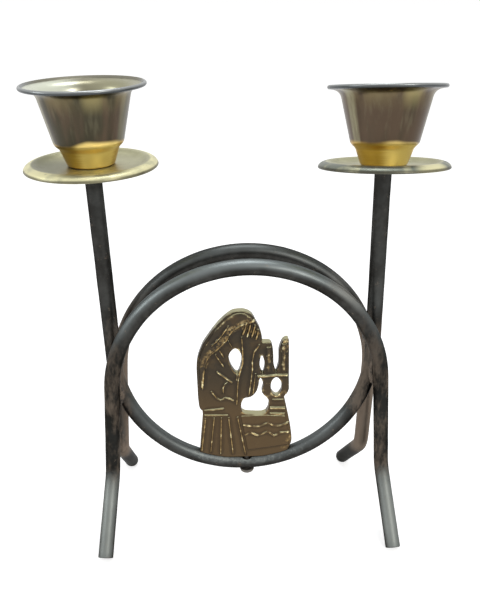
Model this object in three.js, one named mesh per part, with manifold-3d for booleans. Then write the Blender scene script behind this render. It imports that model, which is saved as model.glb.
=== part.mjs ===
import * as THREE from "three";
import { mergeVertices } from "three/addons/utils/BufferGeometryUtils.js";
import Module from "manifold-3d";

// Two-arm candle holder of bent round steel rod, with brass pans and cups and a cast openwork figure.
// Millimetres, +Z up. The viewer's side is -Y, the left arm is at -X, and the feet stand on z = 0.

// Steel rod
const ROD_DIAMETER = 6.7;
const ROD_GAP = 0.3; // left between two rods that cross, and bridged by their weld
const SEAT_GAP = 0.1; // left between two pieces that a screw draws together
const WELD_GAP = 0.08; // left between a weld and the rods it holds
const FOOT_FLAT = 0.6; // depth of the flat that each foot's end is worn to

// Candle rod: two columns rising from one half loop
const LOOP_HALF_WIDTH = 56.7;
const LOOP_DEPTH = 55.6;
const LOOP_CENTRE_HEIGHT = 88.1;
const LOOP_LEAN_ANGLE = 5; // degrees, top away from the viewer
const LOOP_TURN_ANGLE = 1.9; // degrees in its own plane, top to the left
const COLUMN_SPLAY_ANGLE = 0.2; // degrees, outward
const COLUMN_LENGTH = { left: 84.9, right: 80.7 };

// Arches: crown and shoulder arcs, then a leg, and a foot bent out at the knee
const FRONT_ARCH = {
  towardsViewer: true,
  apex: 134.7,
  apexShift: 1.4,
  leanAngle: -1.5,
  crownRadius: 57.6,
  crownHalfAngle: 52.8,
  shoulderRadius: 64.2,
  splayAngle: { left: 3.9, right: 6.6 },
  kneeHeight: 34.1,
  footAngle: { left: 45.4, right: 44 },
  turnOutAngle: { left: 0.8, right: -0.5 },
};
const REAR_ARCH = {
  towardsViewer: false,
  apex: 134.4,
  apexShift: 1.2,
  leanAngle: 1.2,
  crownRadius: 56.2,
  crownHalfAngle: 54.2,
  shoulderRadius: 58.1,
  splayAngle: { left: 2.8, right: 0.3 },
  kneeHeight: 37.5,
  footAngle: { left: 42.7, right: 42.1 },
  turnOutAngle: { left: -3, right: -4.5 },
};
const KNEE_RADIUS = 12;

// Welds where the candle rod passes between the arches
const WELD_LENGTH = 17;
const WELD_WIDTH = 6.6;
const WELD_DEPTH = 5.4;

// Lean of each candle's axis, in degrees
const CANDLE_LEAN = {
  left: { rightAngle: -1.6, backAngle: 3 },
  right: { rightAngle: -0.9, backAngle: 11.4 },
};

// Drip pans, spun from sheet: a flat floor, a rise to the shoulder and a rim turned down
const PAN_FLOOR_RADIUS = 18.6;
const PAN_SHOULDER_RADIUS = 22.8;
const PAN_RADIUS = 25.8;
const PAN_RISE = 1.7;
const PAN_RIM_DEPTH = 2.7;
const PAN_SHEET = 0.9;

// Candle cups, spun from sheet by hand, so that their lips differ a little
const CUP_HEIGHT = 30.2;
const CUP_SHEET = 0.8;
const CUP_BASE_RADIUS = 9.1;
const CUP_NECK_RADIUS = 11;
const CUP_NECK_HEIGHT = 5.5;
const CUP_WAIST_RADIUS = 13.5;
const CUP_WAIST_HEIGHT = 9.3;
const CUP_THROAT_RADIUS = 17.3;
const CUP_THROAT_HEIGHT = 25.5;
const CUP_LIP_RADIUS = { left: 23.5, right: 22.8 };
const CUP_LIP_ROLL = 0.8; // radius of the rolled edge

// Screws
const SCREW_CLEARANCE = 0.2; // on the radius, all along the shank
const CUP_SCREW = { shankRadius: 1.5, length: 11, headRadius: 2.9, headHeight: 1.9 };
const FIGURE_SCREW = { shankRadius: 1.25, length: 16, headRadius: 3.3, headHeight: 2.3 };
const SLOT_WIDTH = 0.8;
const SLOT_DEPTH = 0.8;
const MOUTH_RADIUS = 3.1; // flare of the figure screw's hole at the top of the rod
const MOUTH_DEPTH = 3;

// Cast figure
const FIGURE_THICKNESS = 3.8;
const FIGURE_EDGE = 0.3; // rounding of its edges
const RIDGE_HEIGHT = 0.55;
const RIDGE_HALF_WIDTH = 0.45;
const FIGURE_HEIGHT = 77.6; // from the rod's centreline to the top of the hood
const FIGURE_DRAWN_HEIGHT = 77.6; // the same height in the drawing of its outline and ridges
const HOOD_RELIEF = 0.5;
const TABLE_RELIEF = 0.35;

// Faces round each form
const ROD_SIDES = 16;
const ARC_STEP = 7.5; // degrees of bend per ring
const CUP_SEGMENTS = 32;
const PAN_SEGMENTS = 36;
const SCREW_SEGMENTS = 16;
const SAMPLES_PER_DIAMETER = 4; // along a rod, to find where it crosses another

const rodRadius = ROD_DIAMETER / 2;
const wasm = await Module();
wasm.setup();

const rad = THREE.MathUtils.degToRad;
const UP = new THREE.Vector3(0, 0, 1);
const SIDES = { left: -1, right: 1 };
const points = (...pairs) => pairs.map(([x, y]) => new THREE.Vector2(x, y));

/** A closed three.js geometry as a solid that can be joined and cut. */
function solidOf(geometry) {
  const bare = geometry.clone();
  bare.deleteAttribute("normal");
  bare.deleteAttribute("uv");
  const merged = mergeVertices(bare, 1e-4);
  return new wasm.Manifold(
    new wasm.Mesh({
      numProp: 3,
      vertProperties: new Float32Array(merged.attributes.position.array),
      triVerts: new Uint32Array(merged.index.array),
    }),
  );
}

/** A joined or cut solid as a geometry with flat faces. */
function geometryOf(solid) {
  const mesh = solid.getMesh();
  const geometry = new THREE.BufferGeometry();
  geometry.setAttribute("position", new THREE.BufferAttribute(mesh.vertProperties, 3));
  geometry.setIndex(new THREE.BufferAttribute(mesh.triVerts, 1));
  const faceted = geometry.toNonIndexed();
  faceted.computeVertexNormals();
  return faceted;
}

/** A round or elliptical arc: centre + first cos(a) + second sin(a), with a running between two angles. */
class Arc extends THREE.Curve {
  constructor(centre, first, second, from, to) {
    super();
    Object.assign(this, { centre, first, second, from, to });
    this.steps = Math.max(1, Math.round(Math.abs(to - from) / rad(ARC_STEP)));
  }

  getPoint(t, target = new THREE.Vector3()) {
    const angle = THREE.MathUtils.lerp(this.from, this.to, t);
    target.copy(this.centre).addScaledVector(this.first, Math.cos(angle));
    return target.addScaledVector(this.second, Math.sin(angle));
  }

  getTangent(t, target = new THREE.Vector3()) {
    const angle = THREE.MathUtils.lerp(this.from, this.to, t);
    target.copy(this.second).multiplyScalar(Math.cos(angle)).addScaledVector(this.first, -Math.sin(angle));
    return target.normalize().multiplyScalar(Math.sign(this.to - this.from));
  }

  reversed() {
    return new Arc(this.centre, this.first, this.second, this.to, this.from);
  }
}

/** A straight run of rod. */
class Run extends THREE.LineCurve3 {
  steps = 1;

  reversed() {
    return new Run(this.v2, this.v1);
  }
}

/** A rod's centreline of arcs and runs, which is cut into rings only where it bends. */
class Centreline extends THREE.Curve {
  constructor(pieces) {
    super();
    this.pieces = pieces;
    this.steps = pieces.reduce((sum, piece) => sum + piece.steps, 0);
  }

  /** The piece that holds share u of the rings, and the place along it. */
  at(u) {
    let left = u * this.steps;
    for (const piece of this.pieces) {
      if (left <= piece.steps + 1e-9) return [piece, Math.min(left / piece.steps, 1)];
      left -= piece.steps;
    }
    return [this.pieces.at(-1), 1];
  }

  getPoint(u, target) {
    const [piece, t] = this.at(u);
    return piece.getPoint(t, target);
  }

  getTangent(u, target) {
    const [piece, t] = this.at(u);
    return piece.getTangent(t, target);
  }

  getPointAt(u, target) {
    return this.getPoint(u, target);
  }

  getTangentAt(u, target) {
    return this.getTangent(u, target);
  }

  /** Closely spaced points on the half of the rod at one side. */
  samples(side) {
    const all = this.pieces.flatMap((piece) => {
      const count = Math.ceil((piece.getLength() * SAMPLES_PER_DIAMETER) / ROD_DIAMETER);
      return Array.from({ length: count + 1 }, (_, i) => ({
        point: piece.getPoint(i / count),
        tangent: piece.getTangent(i / count),
      }));
    });
    return all.filter(({ point }) => point.x * side > 0);
  }
}

/** Bends a rod from its start, one run or bend after another. */
class RodBender {
  constructor(start, direction) {
    this.end = start.clone();
    this.direction = direction.clone();
    this.pieces = [];
  }

  add(piece) {
    this.pieces.push(piece);
    this.end = piece.getPoint(1);
    this.direction = piece.getTangent(1);
    return this;
  }

  run(length) {
    return this.add(new Run(this.end.clone(), this.end.clone().addScaledVector(this.direction, length)));
  }

  /** Bends about an axis by the right-hand rule, through an angle in degrees. */
  bend(axis, radius, angle) {
    const inward = axis.clone().cross(this.direction).normalize();
    const centre = this.end.clone().addScaledVector(inward, radius);
    const first = inward.multiplyScalar(-radius);
    const second = this.direction.clone().multiplyScalar(radius);
    return this.add(new Arc(centre, first, second, 0, rad(angle)));
  }
}

/** Round rod along a centreline, cut square at both ends. */
function sweepRod(centreline, radius) {
  const section = new THREE.Shape().absarc(0, 0, radius, 0, 2 * Math.PI);
  const options = { steps: centreline.steps, curveSegments: ROD_SIDES / 2, extrudePath: centreline };
  return new THREE.ExtrudeGeometry(section, options);
}

/** A solid turned about +Z from [radius, height] points that run in a loop, or from axis to axis. */
function lathe(profile, segments) {
  const ring = points(...profile);
  if (THREE.ShapeUtils.area(ring) < 0) ring.reverse();
  if (ring[0].x > 0) ring.push(ring[0].clone());
  return new THREE.LatheGeometry(ring, segments).rotateX(Math.PI / 2);
}

/** Round bar about an axis, centred on a point; it may widen towards the axis's far end. */
function bar(centre, axis, radius, length, farRadius = radius) {
  const geometry = new THREE.CylinderGeometry(farRadius, radius, length, SCREW_SEGMENTS);
  geometry.applyQuaternion(new THREE.Quaternion().setFromUnitVectors(new THREE.Vector3(0, 1, 0), axis));
  return geometry.translate(centre.x, centre.y, centre.z);
}

/** The unit vector of a candle's axis. */
function candleAxis(lean) {
  return new THREE.Vector3(Math.tan(rad(lean.rightAngle)), Math.tan(rad(lean.backAngle)), 1).normalize();
}

// The loop's own directions, and the point where the figure stands on it
const leaningUp = new THREE.Vector3(0, Math.sin(rad(LOOP_LEAN_ANGLE)), Math.cos(rad(LOOP_LEAN_ANGLE)));
const towardsViewer = new THREE.Vector3(1, 0, 0).cross(leaningUp);
const loopUp = leaningUp.clone().applyAxisAngle(towardsViewer, rad(LOOP_TURN_ANGLE));
const loopAcross = loopUp.clone().cross(towardsViewer);
const loopCentre = new THREE.Vector3(0, 0, LOOP_CENTRE_HEIGHT);
const loopBottom = loopCentre.clone().addScaledVector(loopUp, -LOOP_DEPTH);

function candleRodCentreline() {
  const across = loopAcross.clone().multiplyScalar(LOOP_HALF_WIDTH);
  const deep = loopUp.clone().multiplyScalar(LOOP_DEPTH);
  const splay = rad(COLUMN_SPLAY_ANGLE);
  const loop = new Arc(loopCentre, across, deep, Math.PI + splay, 2 * Math.PI - splay);
  const leftFoot = loop.getPoint(0);
  const leftTop = leftFoot.clone().addScaledVector(loop.getTangent(0), -COLUMN_LENGTH.left);
  const rightFoot = loop.getPoint(1);
  const rightTop = rightFoot.clone().addScaledVector(loop.getTangent(1), COLUMN_LENGTH.right);
  return new Centreline([new Run(leftTop, leftFoot), loop, new Run(rightFoot, rightTop)]);
}

/** One half of an arch, from its apex to the end of its foot. */
function halfArch(spec, side, apex, across, up) {
  const hand = SIDES[side];
  const outward = across.clone().multiplyScalar(hand);
  const turning = up.clone().cross(outward);
  const rod = new RodBender(apex, outward);
  rod.bend(turning, spec.crownRadius, spec.crownHalfAngle);
  rod.bend(turning, spec.shoulderRadius, 90 - spec.splayAngle[side] - spec.crownHalfAngle);
  rod.run((rod.end.z - spec.kneeHeight) / -rod.direction.z);

  const turnOut = rad(spec.turnOutAngle[side]);
  const forward = spec.towardsViewer ? -1 : 1;
  const kick = new THREE.Vector3(hand * Math.sin(turnOut), forward * Math.cos(turnOut), 0);
  rod.bend(rod.direction.clone().cross(kick).normalize(), KNEE_RADIUS, spec.footAngle[side]);
  const endDrop = rodRadius * Math.sqrt(1 - rod.direction.z ** 2);
  return rod.run((rod.end.z - endDrop + FOOT_FLAT) / -rod.direction.z).pieces;
}

/** An arch whose plane stands at one depth at its left side and another at its right. */
function archCentreline(spec, depth) {
  const across = new THREE.Vector3(2 * LOOP_HALF_WIDTH, depth.right - depth.left, 0).normalize();
  const back = UP.clone().cross(across);
  const up = UP.clone().multiplyScalar(Math.cos(rad(spec.leanAngle)));
  up.addScaledVector(back, Math.sin(rad(spec.leanAngle)));
  const apex = new THREE.Vector3(spec.apexShift, (depth.left + depth.right) / 2, spec.apex);
  const left = halfArch(spec, "left", apex, across, up);
  const right = halfArch(spec, "right", apex, across, up);
  return new Centreline([...left.reverse().map((piece) => piece.reversed()), ...right]);
}

/** Where two rods come closest at one side: the two points, the distance and their common direction. */
function crossing(first, second, side) {
  let best = { distance: Infinity };
  const others = second.samples(SIDES[side]);
  for (const a of first.samples(SIDES[side])) {
    for (const b of others) {
      const apart = b.point.clone().sub(a.point);
      const along = THREE.MathUtils.clamp(-apart.dot(b.tangent), -1, 1);
      const distance = apart.addScaledVector(b.tangent, along).length();
      if (distance < best.distance) best = { distance, from: a.point, towards: apart, tangent: a.tangent };
    }
  }
  return best;
}

/** Slides and turns an arch until it lies against the candle rod at both sides. */
function archAgainst(candleRod, spec) {
  const outward = spec.towardsViewer ? -1 : 1;
  const depth = { left: outward * ROD_DIAMETER, right: outward * ROD_DIAMETER };
  let arch = archCentreline(spec, depth);
  for (let pass = 0; pass < 6; pass++) {
    for (const side of ["left", "right"]) {
      const { distance } = crossing(candleRod, arch, side);
      depth[side] += outward * (ROD_DIAMETER + ROD_GAP - distance);
    }
    arch = archCentreline(spec, depth);
  }
  return arch;
}

/** A rod cut flat where its feet stand on the table. */
function standingRod(centreline) {
  const reach = 8 * LOOP_HALF_WIDTH;
  const below = new THREE.BoxGeometry(reach, reach, reach).translate(0, 0, -reach / 2);
  return geometryOf(solidOf(sweepRod(centreline, rodRadius)).subtract(solidOf(below)));
}

/** A weld bead lying in the two grooves between the rods where they cross. */
function weldBead(candleRod, arch, side) {
  const { from, towards, tangent } = crossing(candleRod, arch, side);
  const across = towards.clone().normalize();
  const sideways = across.clone().cross(tangent).normalize();
  const along = sideways.clone().cross(across);
  const turn = new THREE.Matrix4().makeBasis(along, sideways, across);
  const middle = from.clone().addScaledVector(towards, 0.5);
  const bead = new THREE.SphereGeometry(0.5, 12, 8).rotateX(Math.PI / 2);
  bead.scale(WELD_LENGTH, WELD_WIDTH, WELD_DEPTH).applyMatrix4(turn);
  bead.translate(middle.x, middle.y, middle.z);
  let solid = solidOf(bead);
  for (const rod of [candleRod, arch]) {
    solid = solid.subtract(solidOf(sweepRod(rod, rodRadius + WELD_GAP)));
  }
  return geometryOf(solid);
}

/** The candle rod: column ends filed to the candles' lean and tapped, loop drilled for the figure. */
function candleRodGeometry(candleRod, seats) {
  let solid = solidOf(sweepRod(lengthened(candleRod), rodRadius));
  for (const { point, axis } of seats) {
    const reach = 4 * ROD_DIAMETER;
    const above = new THREE.BoxGeometry(reach, reach, reach).translate(0, 0, reach / 2);
    above.applyQuaternion(new THREE.Quaternion().setFromUnitVectors(UP, axis));
    above.translate(point.x, point.y, point.z);
    solid = solid.subtract(solidOf(above));
    const drilled = 2 * CUP_SCREW.length;
    solid = solid.subtract(solidOf(bar(point, axis, CUP_SCREW.shankRadius + SCREW_CLEARANCE, drilled)));
  }
  const holeRadius = FIGURE_SCREW.shankRadius + SCREW_CLEARANCE;
  const hole = bar(loopBottom, loopUp, holeRadius, 2 * ROD_DIAMETER);
  const mouthAt = loopBottom.clone().addScaledVector(loopUp, rodRadius + SEAT_GAP - MOUTH_DEPTH / 2);
  const mouth = bar(mouthAt, loopUp, holeRadius, MOUTH_DEPTH, MOUTH_RADIUS);
  return geometryOf(solid.subtract(solidOf(hole)).subtract(solidOf(mouth)));
}

/** The same rod with both column ends run on a little, to be filed back. */
function lengthened(candleRod) {
  const [left, loop, right] = candleRod.pieces;
  const leftTop = left.getPoint(0).addScaledVector(left.getTangent(0), -ROD_DIAMETER);
  const rightTop = right.getPoint(1).addScaledVector(right.getTangent(1), ROD_DIAMETER);
  return new Centreline([new Run(leftTop, left.getPoint(1)), loop, new Run(right.getPoint(0), rightTop)]);
}

/** Drip pan: a shallow dish with its rim turned down; the floor's underside lies on z = 0. */
function panGeometry() {
  const hole = CUP_SCREW.shankRadius + SCREW_CLEARANCE;
  const shoulder = PAN_SHEET + PAN_RISE;
  const lowerEdge = shoulder - PAN_RIM_DEPTH;
  const halfway = (PAN_FLOOR_RADIUS + PAN_SHOULDER_RADIUS) / 2;
  const slope = (PAN_SHOULDER_RADIUS - PAN_FLOOR_RADIUS) / 4;
  const dish = new THREE.Path();
  dish.moveTo(hole, PAN_SHEET);
  dish.lineTo(PAN_FLOOR_RADIUS - slope, PAN_SHEET);
  dish.bezierCurveTo(halfway, PAN_SHEET, halfway, shoulder, PAN_SHOULDER_RADIUS - slope / 2, shoulder);
  dish.quadraticCurveTo(PAN_SHOULDER_RADIUS + slope / 2, shoulder, PAN_RADIUS, lowerEdge + PAN_SHEET / 2);
  const top = dish.getPoints(3).map(({ x, y }) => [x, y]);
  const under = [
    [PAN_RADIUS - 0.2, lowerEdge],
    [PAN_RADIUS - PAN_SHEET, lowerEdge],
    [PAN_SHOULDER_RADIUS, shoulder - PAN_SHEET],
    [PAN_SHOULDER_RADIUS - slope, shoulder - PAN_SHEET],
    [PAN_FLOOR_RADIUS - slope / 2, 0],
    [hole, 0],
  ];
  return lathe([...top, ...under], PAN_SEGMENTS);
}

/** The outside of a cup from the rim of its hole to the underside of its lip. */
function cupOutline(lipRadius) {
  const outline = new THREE.Path();
  outline.moveTo(CUP_SCREW.shankRadius + SCREW_CLEARANCE, 0);
  outline.lineTo(CUP_BASE_RADIUS - 0.7, 0);
  outline.quadraticCurveTo(CUP_BASE_RADIUS, 0, CUP_BASE_RADIUS + 0.3, 1);
  outline.lineTo(CUP_NECK_RADIUS, CUP_NECK_HEIGHT);
  outline.bezierCurveTo(
    CUP_NECK_RADIUS + 0.5,
    (CUP_NECK_HEIGHT + CUP_WAIST_HEIGHT) / 2,
    CUP_WAIST_RADIUS - 0.2,
    (CUP_NECK_HEIGHT + CUP_WAIST_HEIGHT) / 2 + 0.2,
    CUP_WAIST_RADIUS,
    CUP_WAIST_HEIGHT,
  );
  outline.lineTo(CUP_THROAT_RADIUS, CUP_THROAT_HEIGHT);
  const underLip = CUP_HEIGHT - 2 * CUP_LIP_ROLL;
  outline.bezierCurveTo(
    CUP_THROAT_RADIUS + 0.7,
    underLip - 0.8,
    CUP_THROAT_RADIUS + 2.2,
    underLip - 0.2,
    lipRadius - CUP_LIP_ROLL,
    underLip,
  );
  return outline.getPoints(3);
}

/** Bell-shaped candle cup with a stepped neck and a rolled lip; its base lies on z = 0. */
function cupGeometry(lipRadius) {
  const outside = cupOutline(lipRadius);
  const lipCentre = new THREE.Vector2(lipRadius - CUP_LIP_ROLL, CUP_HEIGHT - CUP_LIP_ROLL);
  const roll = [-60, -30, 0, 30, 60, 90].map((angle) => [
    lipCentre.x + CUP_LIP_ROLL * Math.cos(rad(angle)),
    lipCentre.y + CUP_LIP_ROLL * Math.sin(rad(angle)),
  ]);
  const inside = outside.slice(1, -1).map((point, i) => {
    const along = outside[i + 2].clone().sub(outside[i]).normalize();
    return [point.x - CUP_SHEET * along.y, Math.max(point.y + CUP_SHEET * along.x, CUP_SHEET)];
  });
  const walls = inside.filter(([, height]) => height > CUP_SHEET);
  const floor = [
    [walls[0][0] - 0.4, CUP_SHEET],
    [outside[0].x, CUP_SHEET],
  ];
  return lathe([...outside.map(({ x, y }) => [x, y]), ...roll, ...walls.reverse(), ...floor], CUP_SEGMENTS);
}

/** Slotted round-head screw: its head stands on z = 0 and its shank hangs below. */
function screwGeometry({ shankRadius, length, headRadius, headHeight }) {
  const dome = [15, 40, 65].map((angle) => [
    headRadius * Math.cos(rad(angle)),
    headHeight * (0.25 + 0.75 * Math.sin(rad(angle))),
  ]);
  const profile = [
    [0, -length],
    [shankRadius - 0.3, -length],
    [shankRadius, -length + 0.3],
    [shankRadius, 0],
    [headRadius, 0],
    ...dome,
    [0, headHeight],
  ];
  const slot = new THREE.BoxGeometry(3 * headRadius, SLOT_WIDTH, 2 * SLOT_DEPTH);
  slot.translate(0, 0, headHeight);
  return geometryOf(solidOf(lathe(profile, SCREW_SEGMENTS)).subtract(solidOf(slot)));
}

/** The figure's outline from the front: x from the loop's middle, y up from the rod's centreline. */
function figureOutline() {
  const outline = new THREE.Shape();
  outline.moveTo(-22.1, 3.8);
  outline.lineTo(-19.4, 27.2); // skirt
  outline.lineTo(-19.5, 29.2);
  outline.splineThru(points([-20.9, 31.9], [-21.1, 43.6], [-20.7, 54.6], [-17.9, 62.5])); // back
  outline.splineThru(points([-14.6, 67.3], [-10.5, 72.5], [-4.9, 77.1], [0.1, 77.6])); // hood
  outline.splineThru(points([2.4, 76.7], [4.2, 74.9], [5.6, 72])); // brow
  outline.splineThru(points([6.9, 69.2], [7.9, 65.2], [7.9, 62.6])); // raised hands
  outline.splineThru(points([9.4, 62.5], [11.8, 61.9], [12.7, 58.6], [12.9, 51.8], [13.9, 46.9])); // candle
  outline.splineThru(points([15.1, 52.2], [15.3, 58.4], [16.8, 62.6])); // another
  outline.splineThru(points([18.2, 63.6], [19.5, 63.3], [19.7, 61.4]));
  outline.lineTo(19.7, 38.6);
  outline.splineThru(points([19, 36.7], [17.6, 34.8], [18.1, 31.7])); // foot of the branches
  outline.splineThru(points([20, 21.3], [20.9, 13.6], [20.4, 9.4], [17.3, 3])); // table cloth
  outline.closePath();
  return outline;
}

/** An opening whose edge runs smoothly through the given points, counter-clockwise to the first. */
function opening(pairs) {
  const edge = new THREE.CatmullRomCurve3(pairs.map(([x, y]) => new THREE.Vector3(x, y)), true);
  return new THREE.Path(edge.getPoints(3 * pairs.length).slice(1));
}

/** The openings under the face, beside a candle, over the table and between the branches. */
function figureOpenings() {
  return [
    opening([[-6.4, 57.4], [-6.3, 52.4], [-3.3, 47.4], [-1.5, 51.8], [-1.4, 57.2], [-3.8, 59.9]]),
    opening([[6.7, 51.2], [8, 46.8], [9, 51.8], [7.7, 56.1]]),
    opening([
      [5.4, 38.6],
      [2.7, 35.4],
      [-0.9, 34.4],
      [-1.6, 27.8],
      [3.2, 26.4],
      [9.1, 26.8],
      [10.5, 33.2],
      [7.5, 37.4],
      [8.2, 41.4],
      [6.9, 44.9],
    ]),
    opening([[14, 44.8], [11.9, 42.6], [11.9, 37.6], [14, 35.3], [16.1, 37.6], [16.1, 42.6]]),
  ];
}

/** A low rounded ridge on the figure's face, along a curve through the given points. */
function ridge(pairs, halfWidth = RIDGE_HALF_WIDTH, height = RIDGE_HEIGHT) {
  const nodes = pairs.map(([x, y]) => new THREE.Vector3(x, y, FIGURE_THICKNESS / 2));
  const straight = nodes.length === 2;
  const extrudePath = straight ? new THREE.LineCurve3(...nodes) : new THREE.CatmullRomCurve3(nodes);
  const section = new THREE.Shape().absellipse(0, 0, height, halfWidth, 0, 2 * Math.PI);
  const steps = straight ? 1 : 2 * (nodes.length - 1);
  return new THREE.ExtrudeGeometry(section, { steps, curveSegments: 3, extrudePath });
}

/** A raised field on the figure's face. */
function panel(shape, relief) {
  const bevel = relief / 2;
  const options = { depth: 1 + relief - bevel, bevelThickness: bevel, bevelSize: bevel, bevelSegments: 1 };
  const geometry = new THREE.ExtrudeGeometry(shape, { ...options, bevelOffset: -bevel, curveSegments: 4 });
  return geometry.translate(0, 0, FIGURE_THICKNESS / 2 - 1);
}

/** The hood, raised above the rest of the figure. */
function hoodPanel() {
  const hood = new THREE.Shape();
  hood.moveTo(-19.7, 41.2);
  hood.splineThru(points([-19.7, 54.4], [-17, 61.8], [-10.1, 71.5], [-4.5, 76], [0, 76.6], [3.5, 74.3]));
  hood.lineTo(4.9, 72.4);
  hood.splineThru(
    points([-0.2, 71], [-5.1, 67.9], [-7.5, 64.2], [-11.4, 60], [-15.9, 55.8], [-17.7, 51.3]),
  );
  hood.lineTo(-18.7, 41.2);
  hood.closePath();
  return panel(hood, HOOD_RELIEF);
}

/** The cloth that hangs from the table's edge. */
function clothPanel() {
  const hem = points([19.7, 14.5], [19.5, 9.5], [0.5, 7.4]);
  const cloth = new THREE.Shape([...points([-2.2, 25.8], [8.9, 25.8], [17.9, 24.9]), ...hem]);
  return panel(cloth, TABLE_RELIEF);
}

/** The ridges that draw the hood's hem, folds, hands, skirt, table and candlestick. */
function figureRidges() {
  const pleat = (topX, bottomX, bottomY) => ridge([[topX, 25.4], [bottomX, bottomY]]);
  return [
    ridge([[4.9, 73.1], [0.1, 71.5], [-5.1, 68.4], [-7.4, 64.4], [-11.1, 60.6]]),
    ridge([[-11.1, 60.6], [-15.8, 56.3], [-17.5, 51.8], [-18.9, 40.7]]),
    ridge([[-6.6, 70.8], [-9.5, 66.7], [-13.8, 62.1]], 0.5, 0.9),
    ridge([[-6.8, 64], [-5.2, 60.9]]),
    ridge([[-10.9, 60], [-8.8, 55.9]]),
    ridge([[-12.6, 57.6], [-9, 51.3]]),
    ridge([[-12.4, 49.1], [-5.5, 43.1]]),
    ridge([[-15.1, 39.3], [-11.3, 34.4], [-8.6, 35.7], [-5.1, 33.8]]),
    ridge([[-7.6, 43.4], [-9.5, 41.6], [-9.7, 37.7]]),
    ridge([[-3.3, 47.2], [-3.7, 44.2]]),
    ridge([[-0.9, 65.5], [-0.6, 58], [-0.7, 52.4], [-2.6, 46.4], [-3.9, 31.8]]),
    ridge([[6.8, 61.5], [4, 57], [3.4, 48.8], [1.6, 36.1]]),
    ridge([[4.8, 47.3], [3.5, 37]]),
    ridge([[-0.6, 66.3], [0.8, 69.7], [1.3, 72.3]], 0.6, 0.9),
    ridge([[1.4, 65.4], [2.5, 69], [3.2, 72]], 0.6, 0.9),
    ridge([[3.3, 64.8], [4.3, 68], [5.1, 71]], 0.6, 0.9),
    ridge([[5.2, 64.1], [6, 66.5], [6.3, 68.9]], 0.6, 0.9),
    ridge([[-18.8, 29.4], [-9.8, 30.1]]),
    ridge([[-18.7, 27], [-8, 26.4]]),
    pleat(-18.2, -20.7, 7.9),
    pleat(-14.3, -16.7, 6.8),
    pleat(-11.1, -12.1, 5.8),
    pleat(-7.8, -6.3, 5.3),
    pleat(-3.7, -0.5, 4.8),
    ridge([[-1.2, 21], [2.6, 20.2], [6.2, 20.1], [9.9, 21.6], [12.4, 20.1], [15.6, 20], [19.1, 21.3]]),
    ridge([[-0.9, 15.5], [1.9, 16.9], [5.3, 15.1], [9.8, 17], [12.7, 14.6], [15.5, 16.2], [19.5, 16.2]]),
    ridge([[11, 29.5], [17.8, 29.2]], 0.6, 0.8),
    ridge([[10.9, 26.5], [17.6, 26]]),
    ridge([[12, 33.6], [17.2, 33.4]]),
    ridge([[5.6, 45.9], [9.8, 45.7], [13.9, 46.1], [19, 45.8]]),
    ridge([[9.5, 55.9], [12.1, 55.8]]),
    ridge([[16.1, 57.6], [19.1, 57.5]]),
    ridge([[10.6, 48.1], [10.8, 60.1]], 1.2, 0.7),
    ridge([[17.4, 48], [17.6, 61.4]], 1.3, 0.7),
  ];
}

/** Cast openwork figure, tapped from below, its foot shaped to the loop it stands on. */
function figureGeometry(candleRod) {
  const outline = figureOutline();
  outline.holes = figureOpenings();
  const plate = new THREE.ExtrudeGeometry(outline, {
    depth: FIGURE_THICKNESS - 2 * FIGURE_EDGE,
    bevelThickness: FIGURE_EDGE,
    bevelSize: FIGURE_EDGE,
    bevelOffset: -FIGURE_EDGE,
    bevelSegments: 1,
    curveSegments: 3,
  });
  plate.translate(0, 0, FIGURE_EDGE - FIGURE_THICKNESS / 2);
  let solid = solidOf(plate);
  for (const raised of [hoodPanel(), clothPanel(), ...figureRidges()]) solid = solid.add(solidOf(raised));

  const standing = new THREE.Matrix4().makeBasis(loopAcross, loopUp, towardsViewer).setPosition(loopBottom);
  const size = FIGURE_HEIGHT / FIGURE_DRAWN_HEIGHT;
  const seated = geometryOf(solid).scale(size, size, 1).applyMatrix4(standing);
  const top = FIGURE_SCREW.length - rodRadius;
  const shank = bar(
    loopBottom.clone().addScaledVector(loopUp, top / 2),
    loopUp,
    FIGURE_SCREW.shankRadius + SCREW_CLEARANCE,
    top,
  );
  const saddle = sweepRod(candleRod, rodRadius + SEAT_GAP);
  return geometryOf(solidOf(seated).subtract(solidOf(saddle)).subtract(solidOf(shank)));
}

const MATERIALS = {
  steel: new THREE.MeshStandardMaterial({ color: 0x4d4f4b, roughness: 0.5, metalness: 0.85 }),
  weld: new THREE.MeshStandardMaterial({ color: 0x5a5149, roughness: 0.7, metalness: 0.7 }),
  panBrass: new THREE.MeshStandardMaterial({ color: 0xb5ae83, roughness: 0.4, metalness: 0.9 }),
  cupBrass: new THREE.MeshStandardMaterial({ color: 0x9a8650, roughness: 0.35, metalness: 0.9 }),
  bronze: new THREE.MeshStandardMaterial({ color: 0x5b4a2c, roughness: 0.5, metalness: 0.8 }),
  screw: new THREE.MeshStandardMaterial({ color: 0x3c3a36, roughness: 0.5, metalness: 0.9 }),
};

function named(name, geometry, material) {
  const mesh = new THREE.Mesh(geometry, material);
  mesh.name = name;
  return mesh;
}

/** Pan, cup and screw stacked on a column's end, along the candle's axis. */
function candleSeat(side, { point, axis }) {
  const seat = new THREE.Group();
  seat.position.copy(point);
  seat.quaternion.setFromUnitVectors(UP, axis);
  const pan = named(`${side}_drip_pan`, panGeometry(), MATERIALS.panBrass);
  const cup = named(`${side}_cup`, cupGeometry(CUP_LIP_RADIUS[side]), MATERIALS.cupBrass);
  const screw = named(`${side}_cup_screw`, screwGeometry(CUP_SCREW), MATERIALS.screw);
  pan.position.z = SEAT_GAP;
  cup.position.z = pan.position.z + PAN_SHEET + SEAT_GAP;
  screw.position.z = cup.position.z + CUP_SHEET + SEAT_GAP;
  seat.add(pan, cup, screw);
  return seat;
}

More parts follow.
